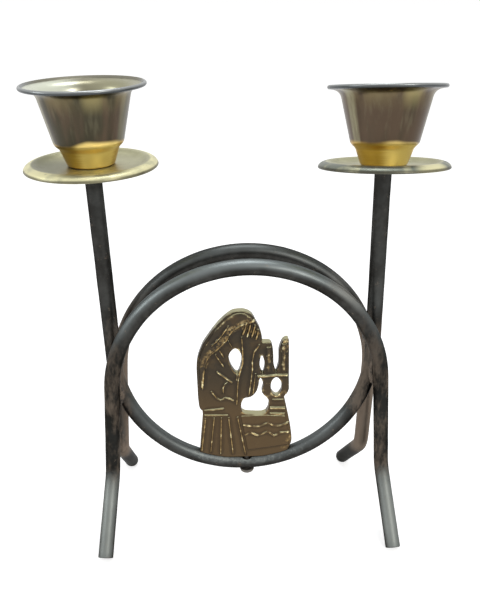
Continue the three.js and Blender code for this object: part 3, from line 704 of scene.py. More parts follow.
class CANDLE_OT_arches(bpy.types.Operator):
    """Bend the two arches with their legs and feet"""

    bl_idname = "candle.arches"
    bl_label = "Arches"

    def execute(self, context):
        rods = context.scene.rod_sizes
        arches = {
            "front_arch": (context.scene.front_arch_sizes, -1),
            "rear_arch": (context.scene.rear_arch_sizes, 1),
        }
        for node, (sizes, forward) in arches.items():
            apex, knees, across, up = arch_frame(node, sizes)
            rod = BentRod(f"{node}_fine", apex, across, rods)
            with edit_mode(rod.piece):
                for side, hand in SIDES.items():
                    rod.hold(apex, across * hand)
                    rod.pick_end()
                    draw_half_arch(rod, sizes, side, knees[side], across, up, forward)
                rod.close()
            uneven(rod.piece, rods.unevenness, rods.unevenness_spread)
            rod.round_edges()
            with edit_mode(rod.piece):
                bpy.ops.mesh.select_all(action="SELECT")
                bpy.ops.mesh.bisect(
                    plane_co=(0, 0, 0),
                    plane_no=UP,
                    use_fill=True,
                    clear_inner=True,
                    threshold=SAME_PLACE,
                )
            smooth(rod.piece)
            finished(rod.piece, node, metal("gunmetal_steel", steel_look))
        return {"FINISHED"}


WELD_SOFTENING = 2  # passes
WELD_LUMP_WIDTH = 0.0018
WELD_LUMP_HEIGHT = 2  # in sizes of a bead's faces


class CANDLE_OT_welds(bpy.types.Operator):
    """Lay the weld beads where the rods cross"""

    bl_idname = "candle.welds"
    bl_label = "Welds"

    def execute(self, context):
        grain = context.scene.figure_sizes.weld_grain
        for place in ("front", "rear"):
            for side in SIDES:
                node = f"weld_{place}_{side}"
                piece = copy_of(node, f"{node}_fine")
                remeshed(piece, grain, WELD_SOFTENING, WELD_LUMP_HEIGHT * grain, WELD_LUMP_WIDTH)
                smooth(piece)
                finished(piece, node, metal("weld_scale", weld_look))
        return {"FINISHED"}


# Turned pieces

ARC_STEPS = 8
SCREW_SIDES = 48
SLOT_WIDTH = 0.0008
SLOT_DEPTH = 0.0008
SLOT_ROUNDING = 0.00008
POINT_SHARE = 0.2  # of a shank's radius: the bevel round its end
EDGE_SHARE = 0.12  # of a head's height: the bevel under it
SIDE_SHARE = 0.3  # of a head's height: where its upright side ends
LINING_START = 1.05  # lowest height of a cup's lining, in thicknesses of its sheet


def turned(name, profile, segments):
    """A turned piece: rings of [radius, height], drawn on from the first and joined back to it."""
    rings = [(max(radius, POLE_RADIUS), height) for radius, height in profile]
    bpy.ops.mesh.primitive_circle_add(vertices=segments, radius=rings[0][0], location=(0, 0, rings[0][1]))
    piece = bpy.context.object
    piece.name = name
    bpy.ops.object.transform_apply(location=True, rotation=True, scale=True)
    with edit_mode(piece):
        bpy.ops.mesh.select_all(action="SELECT")
        for (radius, height), (next_radius, next_height) in zip(rings, rings[1:]):
            rise = (0, 0, next_height - height)
            bpy.ops.mesh.extrude_region_move(TRANSFORM_OT_translate={"value": rise})
            wider = next_radius / radius
            bpy.ops.transform.resize(value=(wider, wider, 1), center_override=(0, 0, next_height))
        bpy.ops.mesh.select_all(action="DESELECT")
        bpy.ops.mesh.select_non_manifold(use_wire=False, use_multi_face=False, use_non_contiguous=False)
        bpy.ops.mesh.bridge_edge_loops()
        bpy.ops.mesh.select_all(action="SELECT")
        bpy.ops.mesh.remove_doubles(threshold=POLE_REACH)
        bpy.ops.mesh.delete_loose()
        bpy.ops.mesh.select_all(action="SELECT")
        bpy.ops.mesh.normals_make_consistent(inside=False)
    return piece


def curve(*knots, steps=8):
    """The points of a Bezier curve, without its first."""
    flat = [Vector((x, y)) for x, y in knots]
    return [tuple(point) for point in interpolate_bezier(*flat, steps + 1)][1:]


def arc(centre, radius, start, end):
    """The points of an arc, its angles in degrees."""
    turns = np.radians(np.linspace(start, end, ARC_STEPS + 1))
    return [(centre[0] + radius * math.cos(turn), centre[1] + radius * math.sin(turn)) for turn in turns]


def pan_profile(sizes):
    """A shallow dish with its rim turned down."""
    shoulder = sizes.pan_sheet + sizes.pan_rise
    edge = shoulder - sizes.pan_rim_depth
    halfway = (sizes.pan_floor_radius + sizes.pan_shoulder_radius) / 2
    slope = (sizes.pan_shoulder_radius - sizes.pan_floor_radius) / 4
    rounding = sizes.pan_sheet / 2
    floor_end = (sizes.pan_floor_radius - slope, sizes.pan_sheet)
    crest = (sizes.pan_shoulder_radius - slope / 2, shoulder)
    rim = (sizes.pan_radius, edge + rounding)
    top = [(sizes.hole_radius, sizes.pan_sheet), floor_end]
    top += curve(floor_end, (halfway, sizes.pan_sheet), (halfway, shoulder), crest, steps=12)
    over = (sizes.pan_shoulder_radius + slope / 2, shoulder)
    top += curve(crest, over, (sizes.pan_radius - slope / 3, shoulder - slope / 2), rim, steps=10)
    under = arc((sizes.pan_radius - rounding, edge + rounding), rounding, -10, -170)
    inner_crest = (sizes.pan_shoulder_radius - slope / 2, shoulder - sizes.pan_sheet)
    under += curve(
        under[-1],
        (sizes.pan_radius - sizes.pan_sheet, shoulder - sizes.pan_sheet),
        (sizes.pan_shoulder_radius, shoulder - sizes.pan_sheet),
        inner_crest,
    )
    under += curve(inner_crest, (halfway, shoulder - sizes.pan_sheet), (halfway, 0), (floor_end[0], 0))
    return top + under + [(sizes.hole_radius, 0)]


def thirds(start, end):
    """The handles of a curve that runs straight from one point to another."""
    return Vector(start).lerp(Vector(end), 0.33), Vector(start).lerp(Vector(end), 0.66)


def cup_outline(sizes, lip_radius):
    """The outside of a cup, from its base's hole to the underside of its lip."""
    base = sizes.cup_base_radius
    neck = Vector((sizes.cup_neck_radius, sizes.cup_neck_height))
    waist = Vector((sizes.cup_waist_radius, sizes.cup_waist_height))
    throat = Vector((sizes.cup_throat_radius, sizes.cup_throat_height))
    # The base's edge is rounded over a millimetre
    foot = (base - 0.0009, 0)
    heel = (base + 0.0003, 0.0011)
    outline = [(sizes.hole_radius, 0), foot]
    outline += curve(foot, (base - 0.0002, 0), (base + 0.0001, 0.0004), heel)
    outline += curve(heel, *thirds(heel, neck), neck, steps=6)
    # The step from the neck to the waist is nearly level halfway up
    halfway = (neck.y + waist.y) / 2
    outline += curve(neck, (neck.x + 0.0004, halfway), (waist.x - 0.0003, halfway + 0.0001), waist, steps=10)
    outline += curve(waist, *thirds(waist, throat), throat, steps=12)
    # The lip flares out until it is level
    under_lip = sizes.cup_height - 2 * sizes.cup_lip_roll
    outline += curve(
        throat,
        (throat.x + 0.0007, under_lip - 0.0008),
        (throat.x + 0.0022, under_lip - 0.0002),
        (lip_radius - sizes.cup_lip_roll, under_lip),
        steps=14,
    )
    return outline


def cup_profile(sizes, lip_radius):
    """A bell on a stepped neck, with a rolled lip."""
    outside = cup_outline(sizes, lip_radius)
    lip = (lip_radius - sizes.cup_lip_roll, sizes.cup_height - sizes.cup_lip_roll)
    roll = arc(lip, sizes.cup_lip_roll, -80, 100)
    inside = []
    for before, point, after in zip(outside, outside[1:], outside[2:]):
        along = (Vector(after) - Vector(before)).normalized()
        height = point[1] + sizes.cup_sheet * along.x
        if height > LINING_START * sizes.cup_sheet:
            inside.append((point[0] - sizes.cup_sheet * along.y, height))
    floor = [(inside[0][0] - 0.0005, sizes.cup_sheet), (sizes.hole_radius, sizes.cup_sheet)]
    return outside + roll + inside[::-1] + floor


class CANDLE_OT_drip_pans(bpy.types.Operator):
    """Turn the two drip pans"""

    bl_idname = "candle.drip_pans"
    bl_label = "Drip Pans"

    def execute(self, context):
        sizes = context.scene.candle_seat_sizes
        for side in SIDES:
            piece = turned(f"{side}_drip_pan_fine", pan_profile(sizes), sizes.segments)
            keep_upright_place(piece)
            placed(piece, candle_frame(side) @ Matrix.Translation((0, 0, sizes.seat_gap)))
            smooth(piece)
            finished(piece, f"{side}_drip_pan", metal("dulled_pan", pan_look))
        return {"FINISHED"}


class CANDLE_OT_cups(bpy.types.Operator):
    """Turn the two candle cups"""

    bl_idname = "candle.cups"
    bl_label = "Cups"

    def execute(self, context):
        sizes = context.scene.candle_seat_sizes
        rise = sizes.pan_sheet + 2 * sizes.seat_gap
        for side in SIDES:
            lip_radius = of_side(sizes.cup_lip_radius, side)
            piece = turned(f"{side}_cup_fine", cup_profile(sizes, lip_radius), sizes.segments)
            keep_upright_place(piece)
            keep_lining(piece)
            keep_lip(piece, lip_radius, sizes.cup_height, sizes.cup_lip_roll)
            placed(piece, candle_frame(side) @ Matrix.Translation((0, 0, rise)))
            smooth(piece)
            finished(piece, f"{side}_cup", metal("tarnished_cup", cup_look))
        return {"FINISHED"}


def screw_profile(sizes):
    """A round head that stands on z = 0, and a shank below it with a blunt point."""
    head, height = sizes.screw_head_radius, sizes.screw_head_height
    shank, length_below = sizes.screw_shank_radius, sizes.screw_length
    point = POINT_SHARE * shank
    edge = EDGE_SHARE * height
    crown = (head, SIDE_SHARE * height)
    profile = [(POLE_RADIUS, -length_below), (shank - point, -length_below), (shank, point - length_below)]
    profile += [(shank, -edge), (shank, 0), (head - edge, 0), (head, edge), crown]
    return profile + curve(crown, (0.97 * head, 0.75 * height), (0.6 * head, height), (0, height))


def screw(name, sizes):
    """A slotted round-head screw."""
    piece = turned(name, screw_profile(sizes), SCREW_SIDES)
    bpy.ops.mesh.primitive_cube_add(size=1, location=(0, 0, sizes.screw_head_height))
    slot = bpy.context.object
    slot.scale = (3 * sizes.screw_head_radius, SLOT_WIDTH, 2 * SLOT_DEPTH)
    bpy.ops.object.transform_apply(location=True, rotation=True, scale=True)
    cut(piece, slot)
    merged(piece, POLE_REACH)
    modified(piece, "BEVEL", width=SLOT_ROUNDING, segments=2, limit_method="ANGLE")
    merged(piece)
    return piece


class CANDLE_OT_screws(bpy.types.Operator):
    """Turn and slot the screws of the cups and of the figure"""

    bl_idname = "candle.screws"
    bl_label = "Screws"

    def execute(self, context):
        rods = context.scene.rod_sizes
        candles = context.scene.candle_seat_sizes
        rise = candles.pan_sheet + candles.cup_sheet + 3 * candles.seat_gap
        above = Matrix.Translation((0, 0, rise))
        drop = rods.loop_depth + rods.diameter / 2 + candles.seat_gap
        below = Matrix.Translation((0, 0, -drop)) @ Matrix.Rotation(math.pi, 4, "X")
        screws = {f"{side}_cup_screw": (candles, candle_frame(side) @ above) for side in SIDES}
        screws["figure_screw"] = (context.scene.figure_sizes, loop_frame(rods) @ below)
        for node, (sizes, place) in screws.items():
            piece = screw(f"{node}_fine", sizes)
            placed(piece, place)
            smooth(piece)
            finished(piece, node, metal("blackened_steel", screw_look))
        return {"FINISHED"}


# The cast figure

FIGURE_DENT = 0.0035  # width of one dent of the casting
WEAR_PASSES = 90  # over which what is round a point is levelled, to find how far the point stands out
MILLIMETRES_IN_A_METRE = 1000
# The hood's hem and fold, the cloth's waves, the bars of the candlestick and the ends of its
# branches, as (x, z) in millimetres from the middle of the loop's rod where it is lowest
RAISED_LINES = [
    [(4.9, 73.1), (0.1, 71.5), (-5.1, 68.4), (-7.4, 64.4)]
    + [(-11.1, 60.6), (-15.8, 56.3), (-17.5, 51.8), (-18.9, 40.7)],
    [(-6.6, 70.8), (-9.5, 66.7), (-13.8, 62.1)],
    [(-1.2, 21), (2.6, 20.2), (6.2, 20.1), (9.9, 21.6), (12.4, 20.1), (15.6, 20), (19.1, 21.3)],
    [(-0.9, 15.5), (1.9, 16.9), (5.3, 15.1), (9.8, 17), (12.7, 14.6), (15.5, 16.2), (19.5, 16.2)],
    [(5.6, 45.9), (9.8, 45.7), (13.9, 46.1), (19, 45.8)],
    [(11, 29.5), (17.8, 29.2)],
    [(10.9, 26.5), (17.6, 26)],
    [(8.4, 61.6), (11, 61.2)],
    [(17.6, 62.2), (18.9, 62.2)],
]
# The lines round which the casting is rubbed to gold: the hood's hem, the fingers, the table's
# corner and the ends of the branches
RUBBED_LINES = [
    [(1.5, 72.6), (-5.4, 69), (-8.1, 65.2), (-11.5, 61.4), (-16.2, 56.9), (-18, 51.5)],
    [(0.6, 70), (3.2, 69), (6.4, 67.6)],
    [(17, 8.6), (19, 10.4), (20, 13.6)],
    [(9.3, 62.3), (11.6, 61.6)],
    [(17.8, 63.4), (19.6, 60.5)],
]


class CANDLE_OT_figure(bpy.types.Operator):
    """Cast the openwork figure"""

    bl_idname = "candle.figure"
    bl_label = "Figure"

    def execute(self, context):
        sizes = context.scene.figure_sizes
        piece = copy_of("figure_plate", "figure_plate_fine")
        loop = loop_frame(context.scene.rod_sizes)
        placed(piece, loop.inverted())
        remeshed(piece, sizes.grain, sizes.softening, sizes.unevenness, FIGURE_DENT)
        floor = Vector((0, -context.scene.rod_sizes.loop_depth))
        raised, rubbed = (
            [[Vector((x, z)) / MILLIMETRES_IN_A_METRE + floor for x, z in line] for line in lines]
            for lines in (RAISED_LINES, RUBBED_LINES)
        )
        emboss(piece, raised, sizes.line_height, sizes.line_half_width, sizes.lump)
        keep(piece, "rubbed", nearness(piece, rubbed, sizes.rub_reach))
        keep_wear(piece, (0, -1, 0), sizes.wear_reach, WEAR_PASSES)
        modified(piece, "DECIMATE", ratio=sizes.kept_faces)
        placed(piece, loop)
        smooth(piece, degrees=180)
        finished(piece, "figure_plate", metal("rubbed_casting", bronze_look))
        return {"FINISHED"}


# Finishes

# The Mix node's colour sockets: the share, the two colours, and the result among its outputs
MIX_SHARE, MIX_FIRST, MIX_SECOND, MIX_RESULT = 0, 6, 7, 2


def add_node(tree, kind, settings=(), **inputs):
    """Adds a node; an input's value is a number, a colour or the socket that feeds it."""
    made = tree.nodes.new(f"ShaderNode{kind}")
    for name, value in dict(settings).items():
        setattr(made, name, value)
    for name, value in inputs.items():
        feed(tree, made.inputs[name.replace("_", " ")], value)
    return made


def feed(tree, socket, value):
    """Links a socket to another, or sets its value."""
    if isinstance(value, bpy.types.NodeSocket):
        tree.links.new(value, socket)
    elif socket.type == "RGBA" and len(value) == 3:
        socket.default_value = (*value, 1)
    else:
        socket.default_value = value


def calculate(tree, operation, *values):
    """One step of arithmetic."""
    made = add_node(tree, "Math", {"operation": operation})
    for socket, value in zip(made.inputs, values):
        feed(tree, socket, value)
    return made.outputs[0]


def product(tree, *values):
    """Values multiplied together."""
    return reduce(partial(calculate, tree, "MULTIPLY"), values)


def total(tree, *values):
    """Values added together."""
    return reduce(partial(calculate, tree, "ADD"), values)


def stronger(tree, first, second):
    """The greater of two values."""
    return calculate(tree, "MAXIMUM", first, second)


def difference(tree, value, less):
    """One value less another."""
    return calculate(tree, "SUBTRACT", value, less)


def swing(tree, cloud, width):
    """A noise carried to half a width on either side of zero."""
    return product(tree, difference(tree, cloud, 0.5), width)


def measured(tree, operation, first, second):
    """A number worked out from two vectors."""
    made = add_node(tree, "VectorMath", {"operation": operation})
    feed(tree, made.inputs[0], first)
    feed(tree, made.inputs[1], second)
    return made.outputs["Value"]


def axes_of(tree, vector):
    """The X, Y and Z of a vector."""
    return add_node(tree, "SeparateXYZ", Vector=vector).outputs


def kept(tree, name, output="Fac"):
    """What was kept under a name on the piece's points."""
    return add_node(tree, "Attribute", {"attribute_name": name}).outputs[output]


def blended(tree, share, first, second):
    """A colour between two others."""
    made = add_node(tree, "Mix", {"data_type": "RGBA", "clamp_factor": True})
    feed(tree, made.inputs[MIX_SHARE], share)
    feed(tree, made.inputs[MIX_FIRST], first)
    feed(tree, made.inputs[MIX_SECOND], second)
    return made.outputs[MIX_RESULT]


def ramped(tree, value, low, high, to_low=0.0, to_high=1.0):
    """A value carried smoothly from one range to another."""
    inputs = {"Value": value, "From_Min": low, "From_Max": high, "To_Min": to_low, "To_Max": to_high}
    return add_node(tree, "MapRange", {"interpolation_type": "SMOOTHSTEP"}, **inputs).outputs[0]


def past(tree, value, level, start, end):
    """How far a value is past a level, from a start to an end that are given from that level."""
    return ramped(tree, value, level + start, level + end)


def noise(tree, place, scale, detail=4.0, roughness=0.55, stretch=(1, 1, 1), shift=(0, 0, 0)):
    """Noise at a scale, which may be stretched along an axis."""
    mapping = add_node(tree, "Mapping", Vector=place, Scale=stretch, Location=shift)
    inputs = {"Vector": mapping.outputs[0], "Scale": scale, "Detail": detail, "Roughness": roughness}
    return add_node(tree, "TexNoise", **inputs).outputs["Fac"]


def group(name, inputs, outputs, build):
    """A node group, made once: its inputs' defaults, None for a vector, and its outputs' names."""
    tree = bpy.data.node_groups.get(name)
    if tree is not None:
        return tree
    tree = bpy.data.node_groups.new(name, "ShaderNodeTree")
    for label, default in inputs.items():
        kind = "Vector" if default is None else "Float"
        socket = tree.interface.new_socket(label, in_out="INPUT", socket_type=f"NodeSocket{kind}")
        if default is not None:
            socket.default_value = default
    for label in outputs:
        tree.interface.new_socket(label, in_out="OUTPUT", socket_type="NodeSocketFloat")
    source = tree.nodes.new("NodeGroupInput")
    target = tree.nodes.new("NodeGroupOutput")
    for label, value in build(tree, source.outputs).items():
        feed(tree, target.inputs[label], value)
    return tree


def use_group(tree, shared, **inputs):
    """Places a node group in a material with its own values."""
    return add_node(tree, "Group", {"node_tree": shared}, **inputs).outputs


def mottling():
    """Cloudy patches over a finer mottle."""

    def build(tree, given):
        large = noise(tree, given["Place"], given["Scale"], detail=3.0)
        fine_scale = product(tree, given["Scale"], 5.3)
        fine = noise(tree, given["Place"], fine_scale, detail=5.0, roughness=0.65, shift=(3.1, 1.7, 0.4))
        both = total(tree, product(tree, large, 0.65), product(tree, fine, 0.35))
        low = difference(tree, given["Level"], given["Softness"])
        high = total(tree, given["Level"], given["Softness"])
        return {"Mask": ramped(tree, both, low, high), "Cloud": both}

    inputs = {"Place": None, "Scale": 100, "Level": 0.5, "Softness": 0.1}
    return group("Mottling", inputs, ("Mask", "Cloud"), build)


def fine_surface():
    """The height of small scratches and of grain."""

    def build(tree, given):
        scratches = noise(tree, given["Place"], 900.0, detail=2.0, stretch=(1, 1, 0.12))
        crossing = noise(tree, given["Place"], 700.0, detail=2.0, stretch=(0.15, 1, 1))
        grain = noise(tree, given["Place"], 2600.0, detail=3.0)
        scratched = product(tree, total(tree, scratches, crossing), given["Scratches"])
        return {"Height": total(tree, scratched, product(tree, grain, given["Grain"]))}

    return group("Fine Surface", {"Place": None, "Scratches": 0.5, "Grain": 0.5}, ("Height",), build)


def lit_upper_sides():
    """How far a surface looks up, broken up by a mottle: the mask of the light painted on upper sides."""

    def build(tree, given):
        rise = axes_of(tree, add_node(tree, "NewGeometry").outputs["Normal"])["Z"]
        clouds = noise(tree, given["Place"], given["Scale"], detail=3.0)
        breakup = swing(tree, clouds, given["Breakup"])
        return {"Mask": ramped(tree, total(tree, rise, breakup), given["From"], given["To"])}

    inputs = {"Place": None, "Scale": 60, "Breakup": 0.5, "From": 0.1, "To": 0.9}
    return group("Upper Sides", inputs, ("Mask",), build)


def turning_marks():
    """Fine rings that the tool leaves on a turned or spun piece."""

    def build(tree, given):
        along = total(tree, given["Radius"], given["Rise"])
        line = add_node(tree, "CombineXYZ", X=along, Y=0.0, Z=0.0).outputs[0]
        return {"Height": noise(tree, line, 1500.0, detail=4.0, roughness=0.7)}

    return group("Turning Marks", {"Radius": 0, "Rise": 0}, ("Height",), build)


def metal(name, look):
    """A metal's material, made once: look() dresses its shader, given the places on the piece."""
    material = bpy.data.materials.get(name)
    if material is None:
        material = bpy.data.materials.new(name)
        material.use_nodes = True
        tree = material.node_tree
        look(tree, tree.nodes["Principled BSDF"], add_node(tree, "TexCoord").outputs["Object"])
    return material


def dress(tree, shader, tone, roughness, metallic, relief, depth):
    """Gives a metal its colour, its roughness and metallic, and its fine relief of a depth in metres."""
    feed(tree, shader.inputs["Base Color"], tone)
    feed(tree, shader.inputs["Roughness"], roughness)
    feed(tree, shader.inputs["Metallic"], metallic)
    raised = add_node(tree, "Bump", Height=relief, Distance=depth, Strength=1.0)
    feed(tree, shader.inputs["Normal"], raised.outputs[0])


def colours():
    """The scene's colours of the metals."""
    return bpy.context.scene.candle_finishes


# The steel's finishes and its painted light: where each starts and where it is full, in metres
HIGHLIGHT_SHOULDER = (0.0435, -0.005, 0.1215)  # the painted highlight on the front arch's right shoulder
HIGHLIGHT_REACH = (0.015, 0.003)  # from that place
LIT_SIDE_DEPTH = (0.010, -0.002)  # y: the light painted on the upper sides fades towards the rear rods
LIT_SIDE_HEIGHT = (0.045, 0.11)  # z: and towards the feet
FOOT_DEPTH = (0.0, -0.01)  # y: only the front feet are painted pale, as lit from above
FOOT_TOP = (0.029, 0.040)  # z: and not over their knees
LEG_SIDE = (0.045, 0.051)  # x from the middle: the legs, and not the loop
LEG_TOP = (0.125, 0.075)  # z
LEG_END = (0.022, 0.034)  # z
DARK_LEG_DEPTH = (0.002, -0.004)  # y: the front legs are darker
PATCH_DEPTH = (-0.006, 0.008)  # y: rust patches, stronger to the rear
REAR_DEPTH = (0.0018, 0.0038)  # y: the rear legs are rusty all over
RAGGEDNESS = 0.06  # of the line where the painted light on the feet ends: a noise swings it by half of this at most


def steel_look(tree, shader, place):
    """Dark gunmetal steel, dulled, with rust on the legs and darker front legs, and painted light where it
    looks up, on the front feet and on the front arch's right shoulder.
    """
    tones = colours()
    axes = axes_of(tree, place)
    clouds = use_group(tree, mottling(), Place=place, Scale=60.0, Level=0.52, Softness=0.14)
    body = blended(tree, clouds["Mask"], tones.steel, tones.dulled_steel)

    # Painted light on the sides that look up, stronger on the front arch and higher up
    upper = use_group(tree, lit_upper_sides(), Place=place, Scale=45.0, Breakup=0.7, From=-0.05, To=0.9)["Mask"]
    in_front = ramped(tree, axes["Y"], *LIT_SIDE_DEPTH, 0.12, 1.0)
    high = ramped(tree, axes["Z"], *LIT_SIDE_HEIGHT, 0.6, 1.0)
    body = blended(tree, product(tree, upper, in_front, high), body, tones.lit_upper_steel)
    # A painted highlight on the front arch's right shoulder, where it looks up
    near = ramped(tree, measured(tree, "DISTANCE", place, HIGHLIGHT_SHOULDER), *HIGHLIGHT_REACH)
    body = blended(tree, product(tree, near, upper), body, tones.shoulder_highlight_steel)

    # Painted light on the front feet, under their knees and where they look up
    lit = noise(tree, place, 520.0, detail=5.0, roughness=0.8)
    ragged_height = total(tree, axes["Z"], swing(tree, lit, RAGGEDNESS))
    under_knee = difference(tree, 1.0, ramped(tree, ragged_height, *FOOT_TOP))
    lit_foot = product(tree, under_knee, ramped(tree, axes["Y"], *FOOT_DEPTH), upper)
    body = blended(tree, lit_foot, body, tones.lit_foot_steel)

    beside = ramped(tree, calculate(tree, "ABSOLUTE", axes["X"]), *LEG_SIDE)
    low = product(tree, ramped(tree, axes["Z"], *LEG_TOP), ramped(tree, axes["Z"], *LEG_END))
    # The front legs are made darker between their knees and the arch
    darker_legs = product(tree, low, beside, ramped(tree, axes["Y"], *DARK_LEG_DEPTH, 0.0, 0.6))
    body = blended(tree, darker_legs, body, tones.dark_leg_steel)
    drawn_out = add_node(tree, "Mapping", Vector=place, Scale=(1, 1, 0.35)).outputs[0]
    patches = use_group(tree, mottling(), Place=drawn_out, Scale=150.0, Level=0.54, Softness=0.1)
    some = product(tree, patches["Mask"], ramped(tree, axes["Y"], *PATCH_DEPTH, 0.35, 1.0), beside)
    much = ramped(tree, axes["Y"], *REAR_DEPTH, 0.0, 0.7)
    specks = use_group(tree, mottling(), Place=place, Scale=420.0, Level=0.64, Softness=0.05)["Mask"]
    rusty = stronger(tree, product(tree, low, stronger(tree, some, much)), product(tree, specks, 0.3))
    body = blended(tree, rusty, body, tones.rust)

    matt = product(tree, total(tree, rusty, lit_foot), 0.12)
    roughness = total(tree, 0.34, product(tree, clouds["Cloud"], 0.18), matt)
    metallic = difference(tree, 0.95, product(tree, rusty, 0.6))
    surface = use_group(tree, fine_surface(), Place=place, Scratches=0.35, Grain=0.5)["Height"]
    pitted = total(tree, surface, product(tree, specks, -0.6))
    dress(tree, shader, body, roughness, metallic, pitted, depth=0.00003)
    # A weak mirror at a grazing angle, so that the white floor doesn't show along the rods' edges
    shader.inputs["Specular IOR Level"].default_value = 0.2
    shader.inputs["Specular Tint"].default_value = (0.4, 0.4, 0.4, 1)


def weld_look(tree, shader, place):
    """Dark scale of an old weld."""
    tones = colours()
    patches = use_group(tree, mottling(), Place=place, Scale=300.0, Level=0.5, Softness=0.12)
    body = blended(tree, product(tree, patches["Mask"], 0.6), tones.steel, tones.rust)
    roughness = total(tree, 0.5, product(tree, patches["Cloud"], 0.3))
    surface = use_group(tree, fine_surface(), Place=place, Scratches=0.2, Grain=1.2)["Height"]
    dress(tree, shader, body, roughness, metallic=0.6, relief=surface, depth=0.00008)


# The turned pieces' finishes. A direction is (x, y) from a candle's axis, with the viewer at -y
LEFT_TO_RIGHT = (-0.001, 0.001)  # x, in metres: from the left candle's side to the right one's
CUP_REFLECTION_SIDE = (-0.95, -0.31)  # the painted reflection of the cup on the left pan
GLINT = (0.55, -0.835)  # the painted glint on the right pan's rim
LIP_HIGHLIGHT_SIDE = (0.33, -0.94)  # the painted gold highlight under the lips
NECK_HIGHLIGHT_SIDE = (0.42, -0.907)  # the painted highlight on the necks
CLIMBING_SIDE = (0.6, -0.8)  # where the left neck's gold climbs over the step
# The side of the lining where light is painted
LIT_LINING = (-0.97, 0.25)
BRASSY_LINING = (0.8, 0.6)
FAR_SIDE = (0, 1)
# Painted reflections that run down the cups as paler streaks: direction, where a streak starts, how strong
REFLECTED_STREAKS = [((-0.9, -0.44), 0.985, 1.0), ((0.93, -0.37), 0.975, 0.35), ((0.3, 0.95), 0.94, 0.5)]
# Where a finish starts and where it is full, in metres
PAN_RIM = (-0.0006, 0.0004)  # outward from the pan's highest ring
PAN_EDGE = (-0.0005, -0.0001)  # outward from the pan's edge
UNDER_LIP = (-0.006, 0.002)  # up from the cup's throat
OVER_NECK = (-0.0009, 0.0016)  # up from where the neck's gold ends
LINING_SHADE = (0.008, 0.028)  # height in the cup: painted shade darkens the lining towards its floor
GOLD_UNDER_WAIST = 0.0012  # the neck's gold ends this far under the waist
GOLD_CREEP = 0.005  # a noise swings that end by half of this at most
GOLD_CLIMB = 0.0020  # and it lies this much higher on the left cup's climbing side


def upright_place(tree):
    """A turned piece's own place, its radius and its height, whatever its tilt."""
    place = kept(tree, "upright", "Vector")
    axes = axes_of(tree, place)
    squares = total(tree, product(tree, axes["X"], axes["X"]), product(tree, axes["Y"], axes["Y"]))
    return place, calculate(tree, "SQRT", squares), axes["Z"]


def facing(tree, place, radius, direction, start, end=1.0):
    """How far a place on a turned piece lies in a direction from its axis."""
    towards = measured(tree, "DOT_PRODUCT", place, (*direction, 0))
    return ramped(tree, calculate(tree, "DIVIDE", towards, radius), start, end)


def turned_surface(tree, place, radius, height, scratches, grain):
    """The fine relief of a turned piece."""
    marks = use_group(tree, turning_marks(), Radius=radius, Rise=height)["Height"]
    surface = use_group(tree, fine_surface(), Place=place, Scratches=scratches, Grain=grain)["Height"]
    return total(tree, marks, surface)


def pan_look(tree, shader, place):
    """Dulled olive brass with a paler rim on the left pan and a greyer one on the right, painted glints on
    the rims and a painted reflection of the cup on the left pan.
    """
    tones = colours()
    sizes = bpy.context.scene.candle_seat_sizes
    right_pan = ramped(tree, axes_of(tree, place)["X"], *LEFT_TO_RIGHT)
    place, radius, height = upright_place(tree)
    dull = use_group(tree, mottling(), Place=place, Scale=75.0, Level=0.5, Softness=0.2)
    body = blended(tree, product(tree, dull["Mask"], 0.25), tones.pan, tones.inside)
    left_pan = difference(tree, 1.0, right_pan)
    # A painted reflection of the cup, on the left of the left pan
    dark = product(tree, facing(tree, place, radius, CUP_REFLECTION_SIDE, 0.45), left_pan, 0.8)
    body = blended(tree, dark, body, tones.pan_cup_reflection)

    # Painted glints: the left rim is brass with paler speckles, the right one grey with one bright spot
    glints = noise(tree, place, 160.0, detail=2.0, stretch=(1, 1, 0.3))
    brass_rim = blended(tree, ramped(tree, glints, 0.25, 0.6), tones.pan, tones.rim_brass_and_glint)
    weak_glints = ramped(tree, glints, 0.5, 0.75, 0.0, 0.45)
    glint = stronger(tree, facing(tree, place, radius, GLINT, 0.92), weak_glints)
    grey_rim = blended(tree, glint, tones.grey_rim, tones.rim_brass_and_glint)
    rim = past(tree, radius, sizes.pan_shoulder_radius, *PAN_RIM)
    body = blended(tree, rim, body, blended(tree, right_pan, brass_rim, grey_rim))
    edge = past(tree, radius, sizes.pan_radius, *PAN_EDGE)
    body = blended(tree, product(tree, edge, 0.8), body, tones.patina)
    stains = use_group(tree, mottling(), Place=place, Scale=260.0, Level=0.63, Softness=0.05)
    body = blended(tree, product(tree, stains["Mask"], 0.4), body, tones.patina)

    roughness = total(tree, 0.28, product(tree, dull["Cloud"], 0.26))
    relief = turned_surface(tree, place, radius, height, scratches=0.4, grain=0.25)
    dress(tree, shader, body, roughness, metallic=0.95, relief=relief, depth=0.000015)


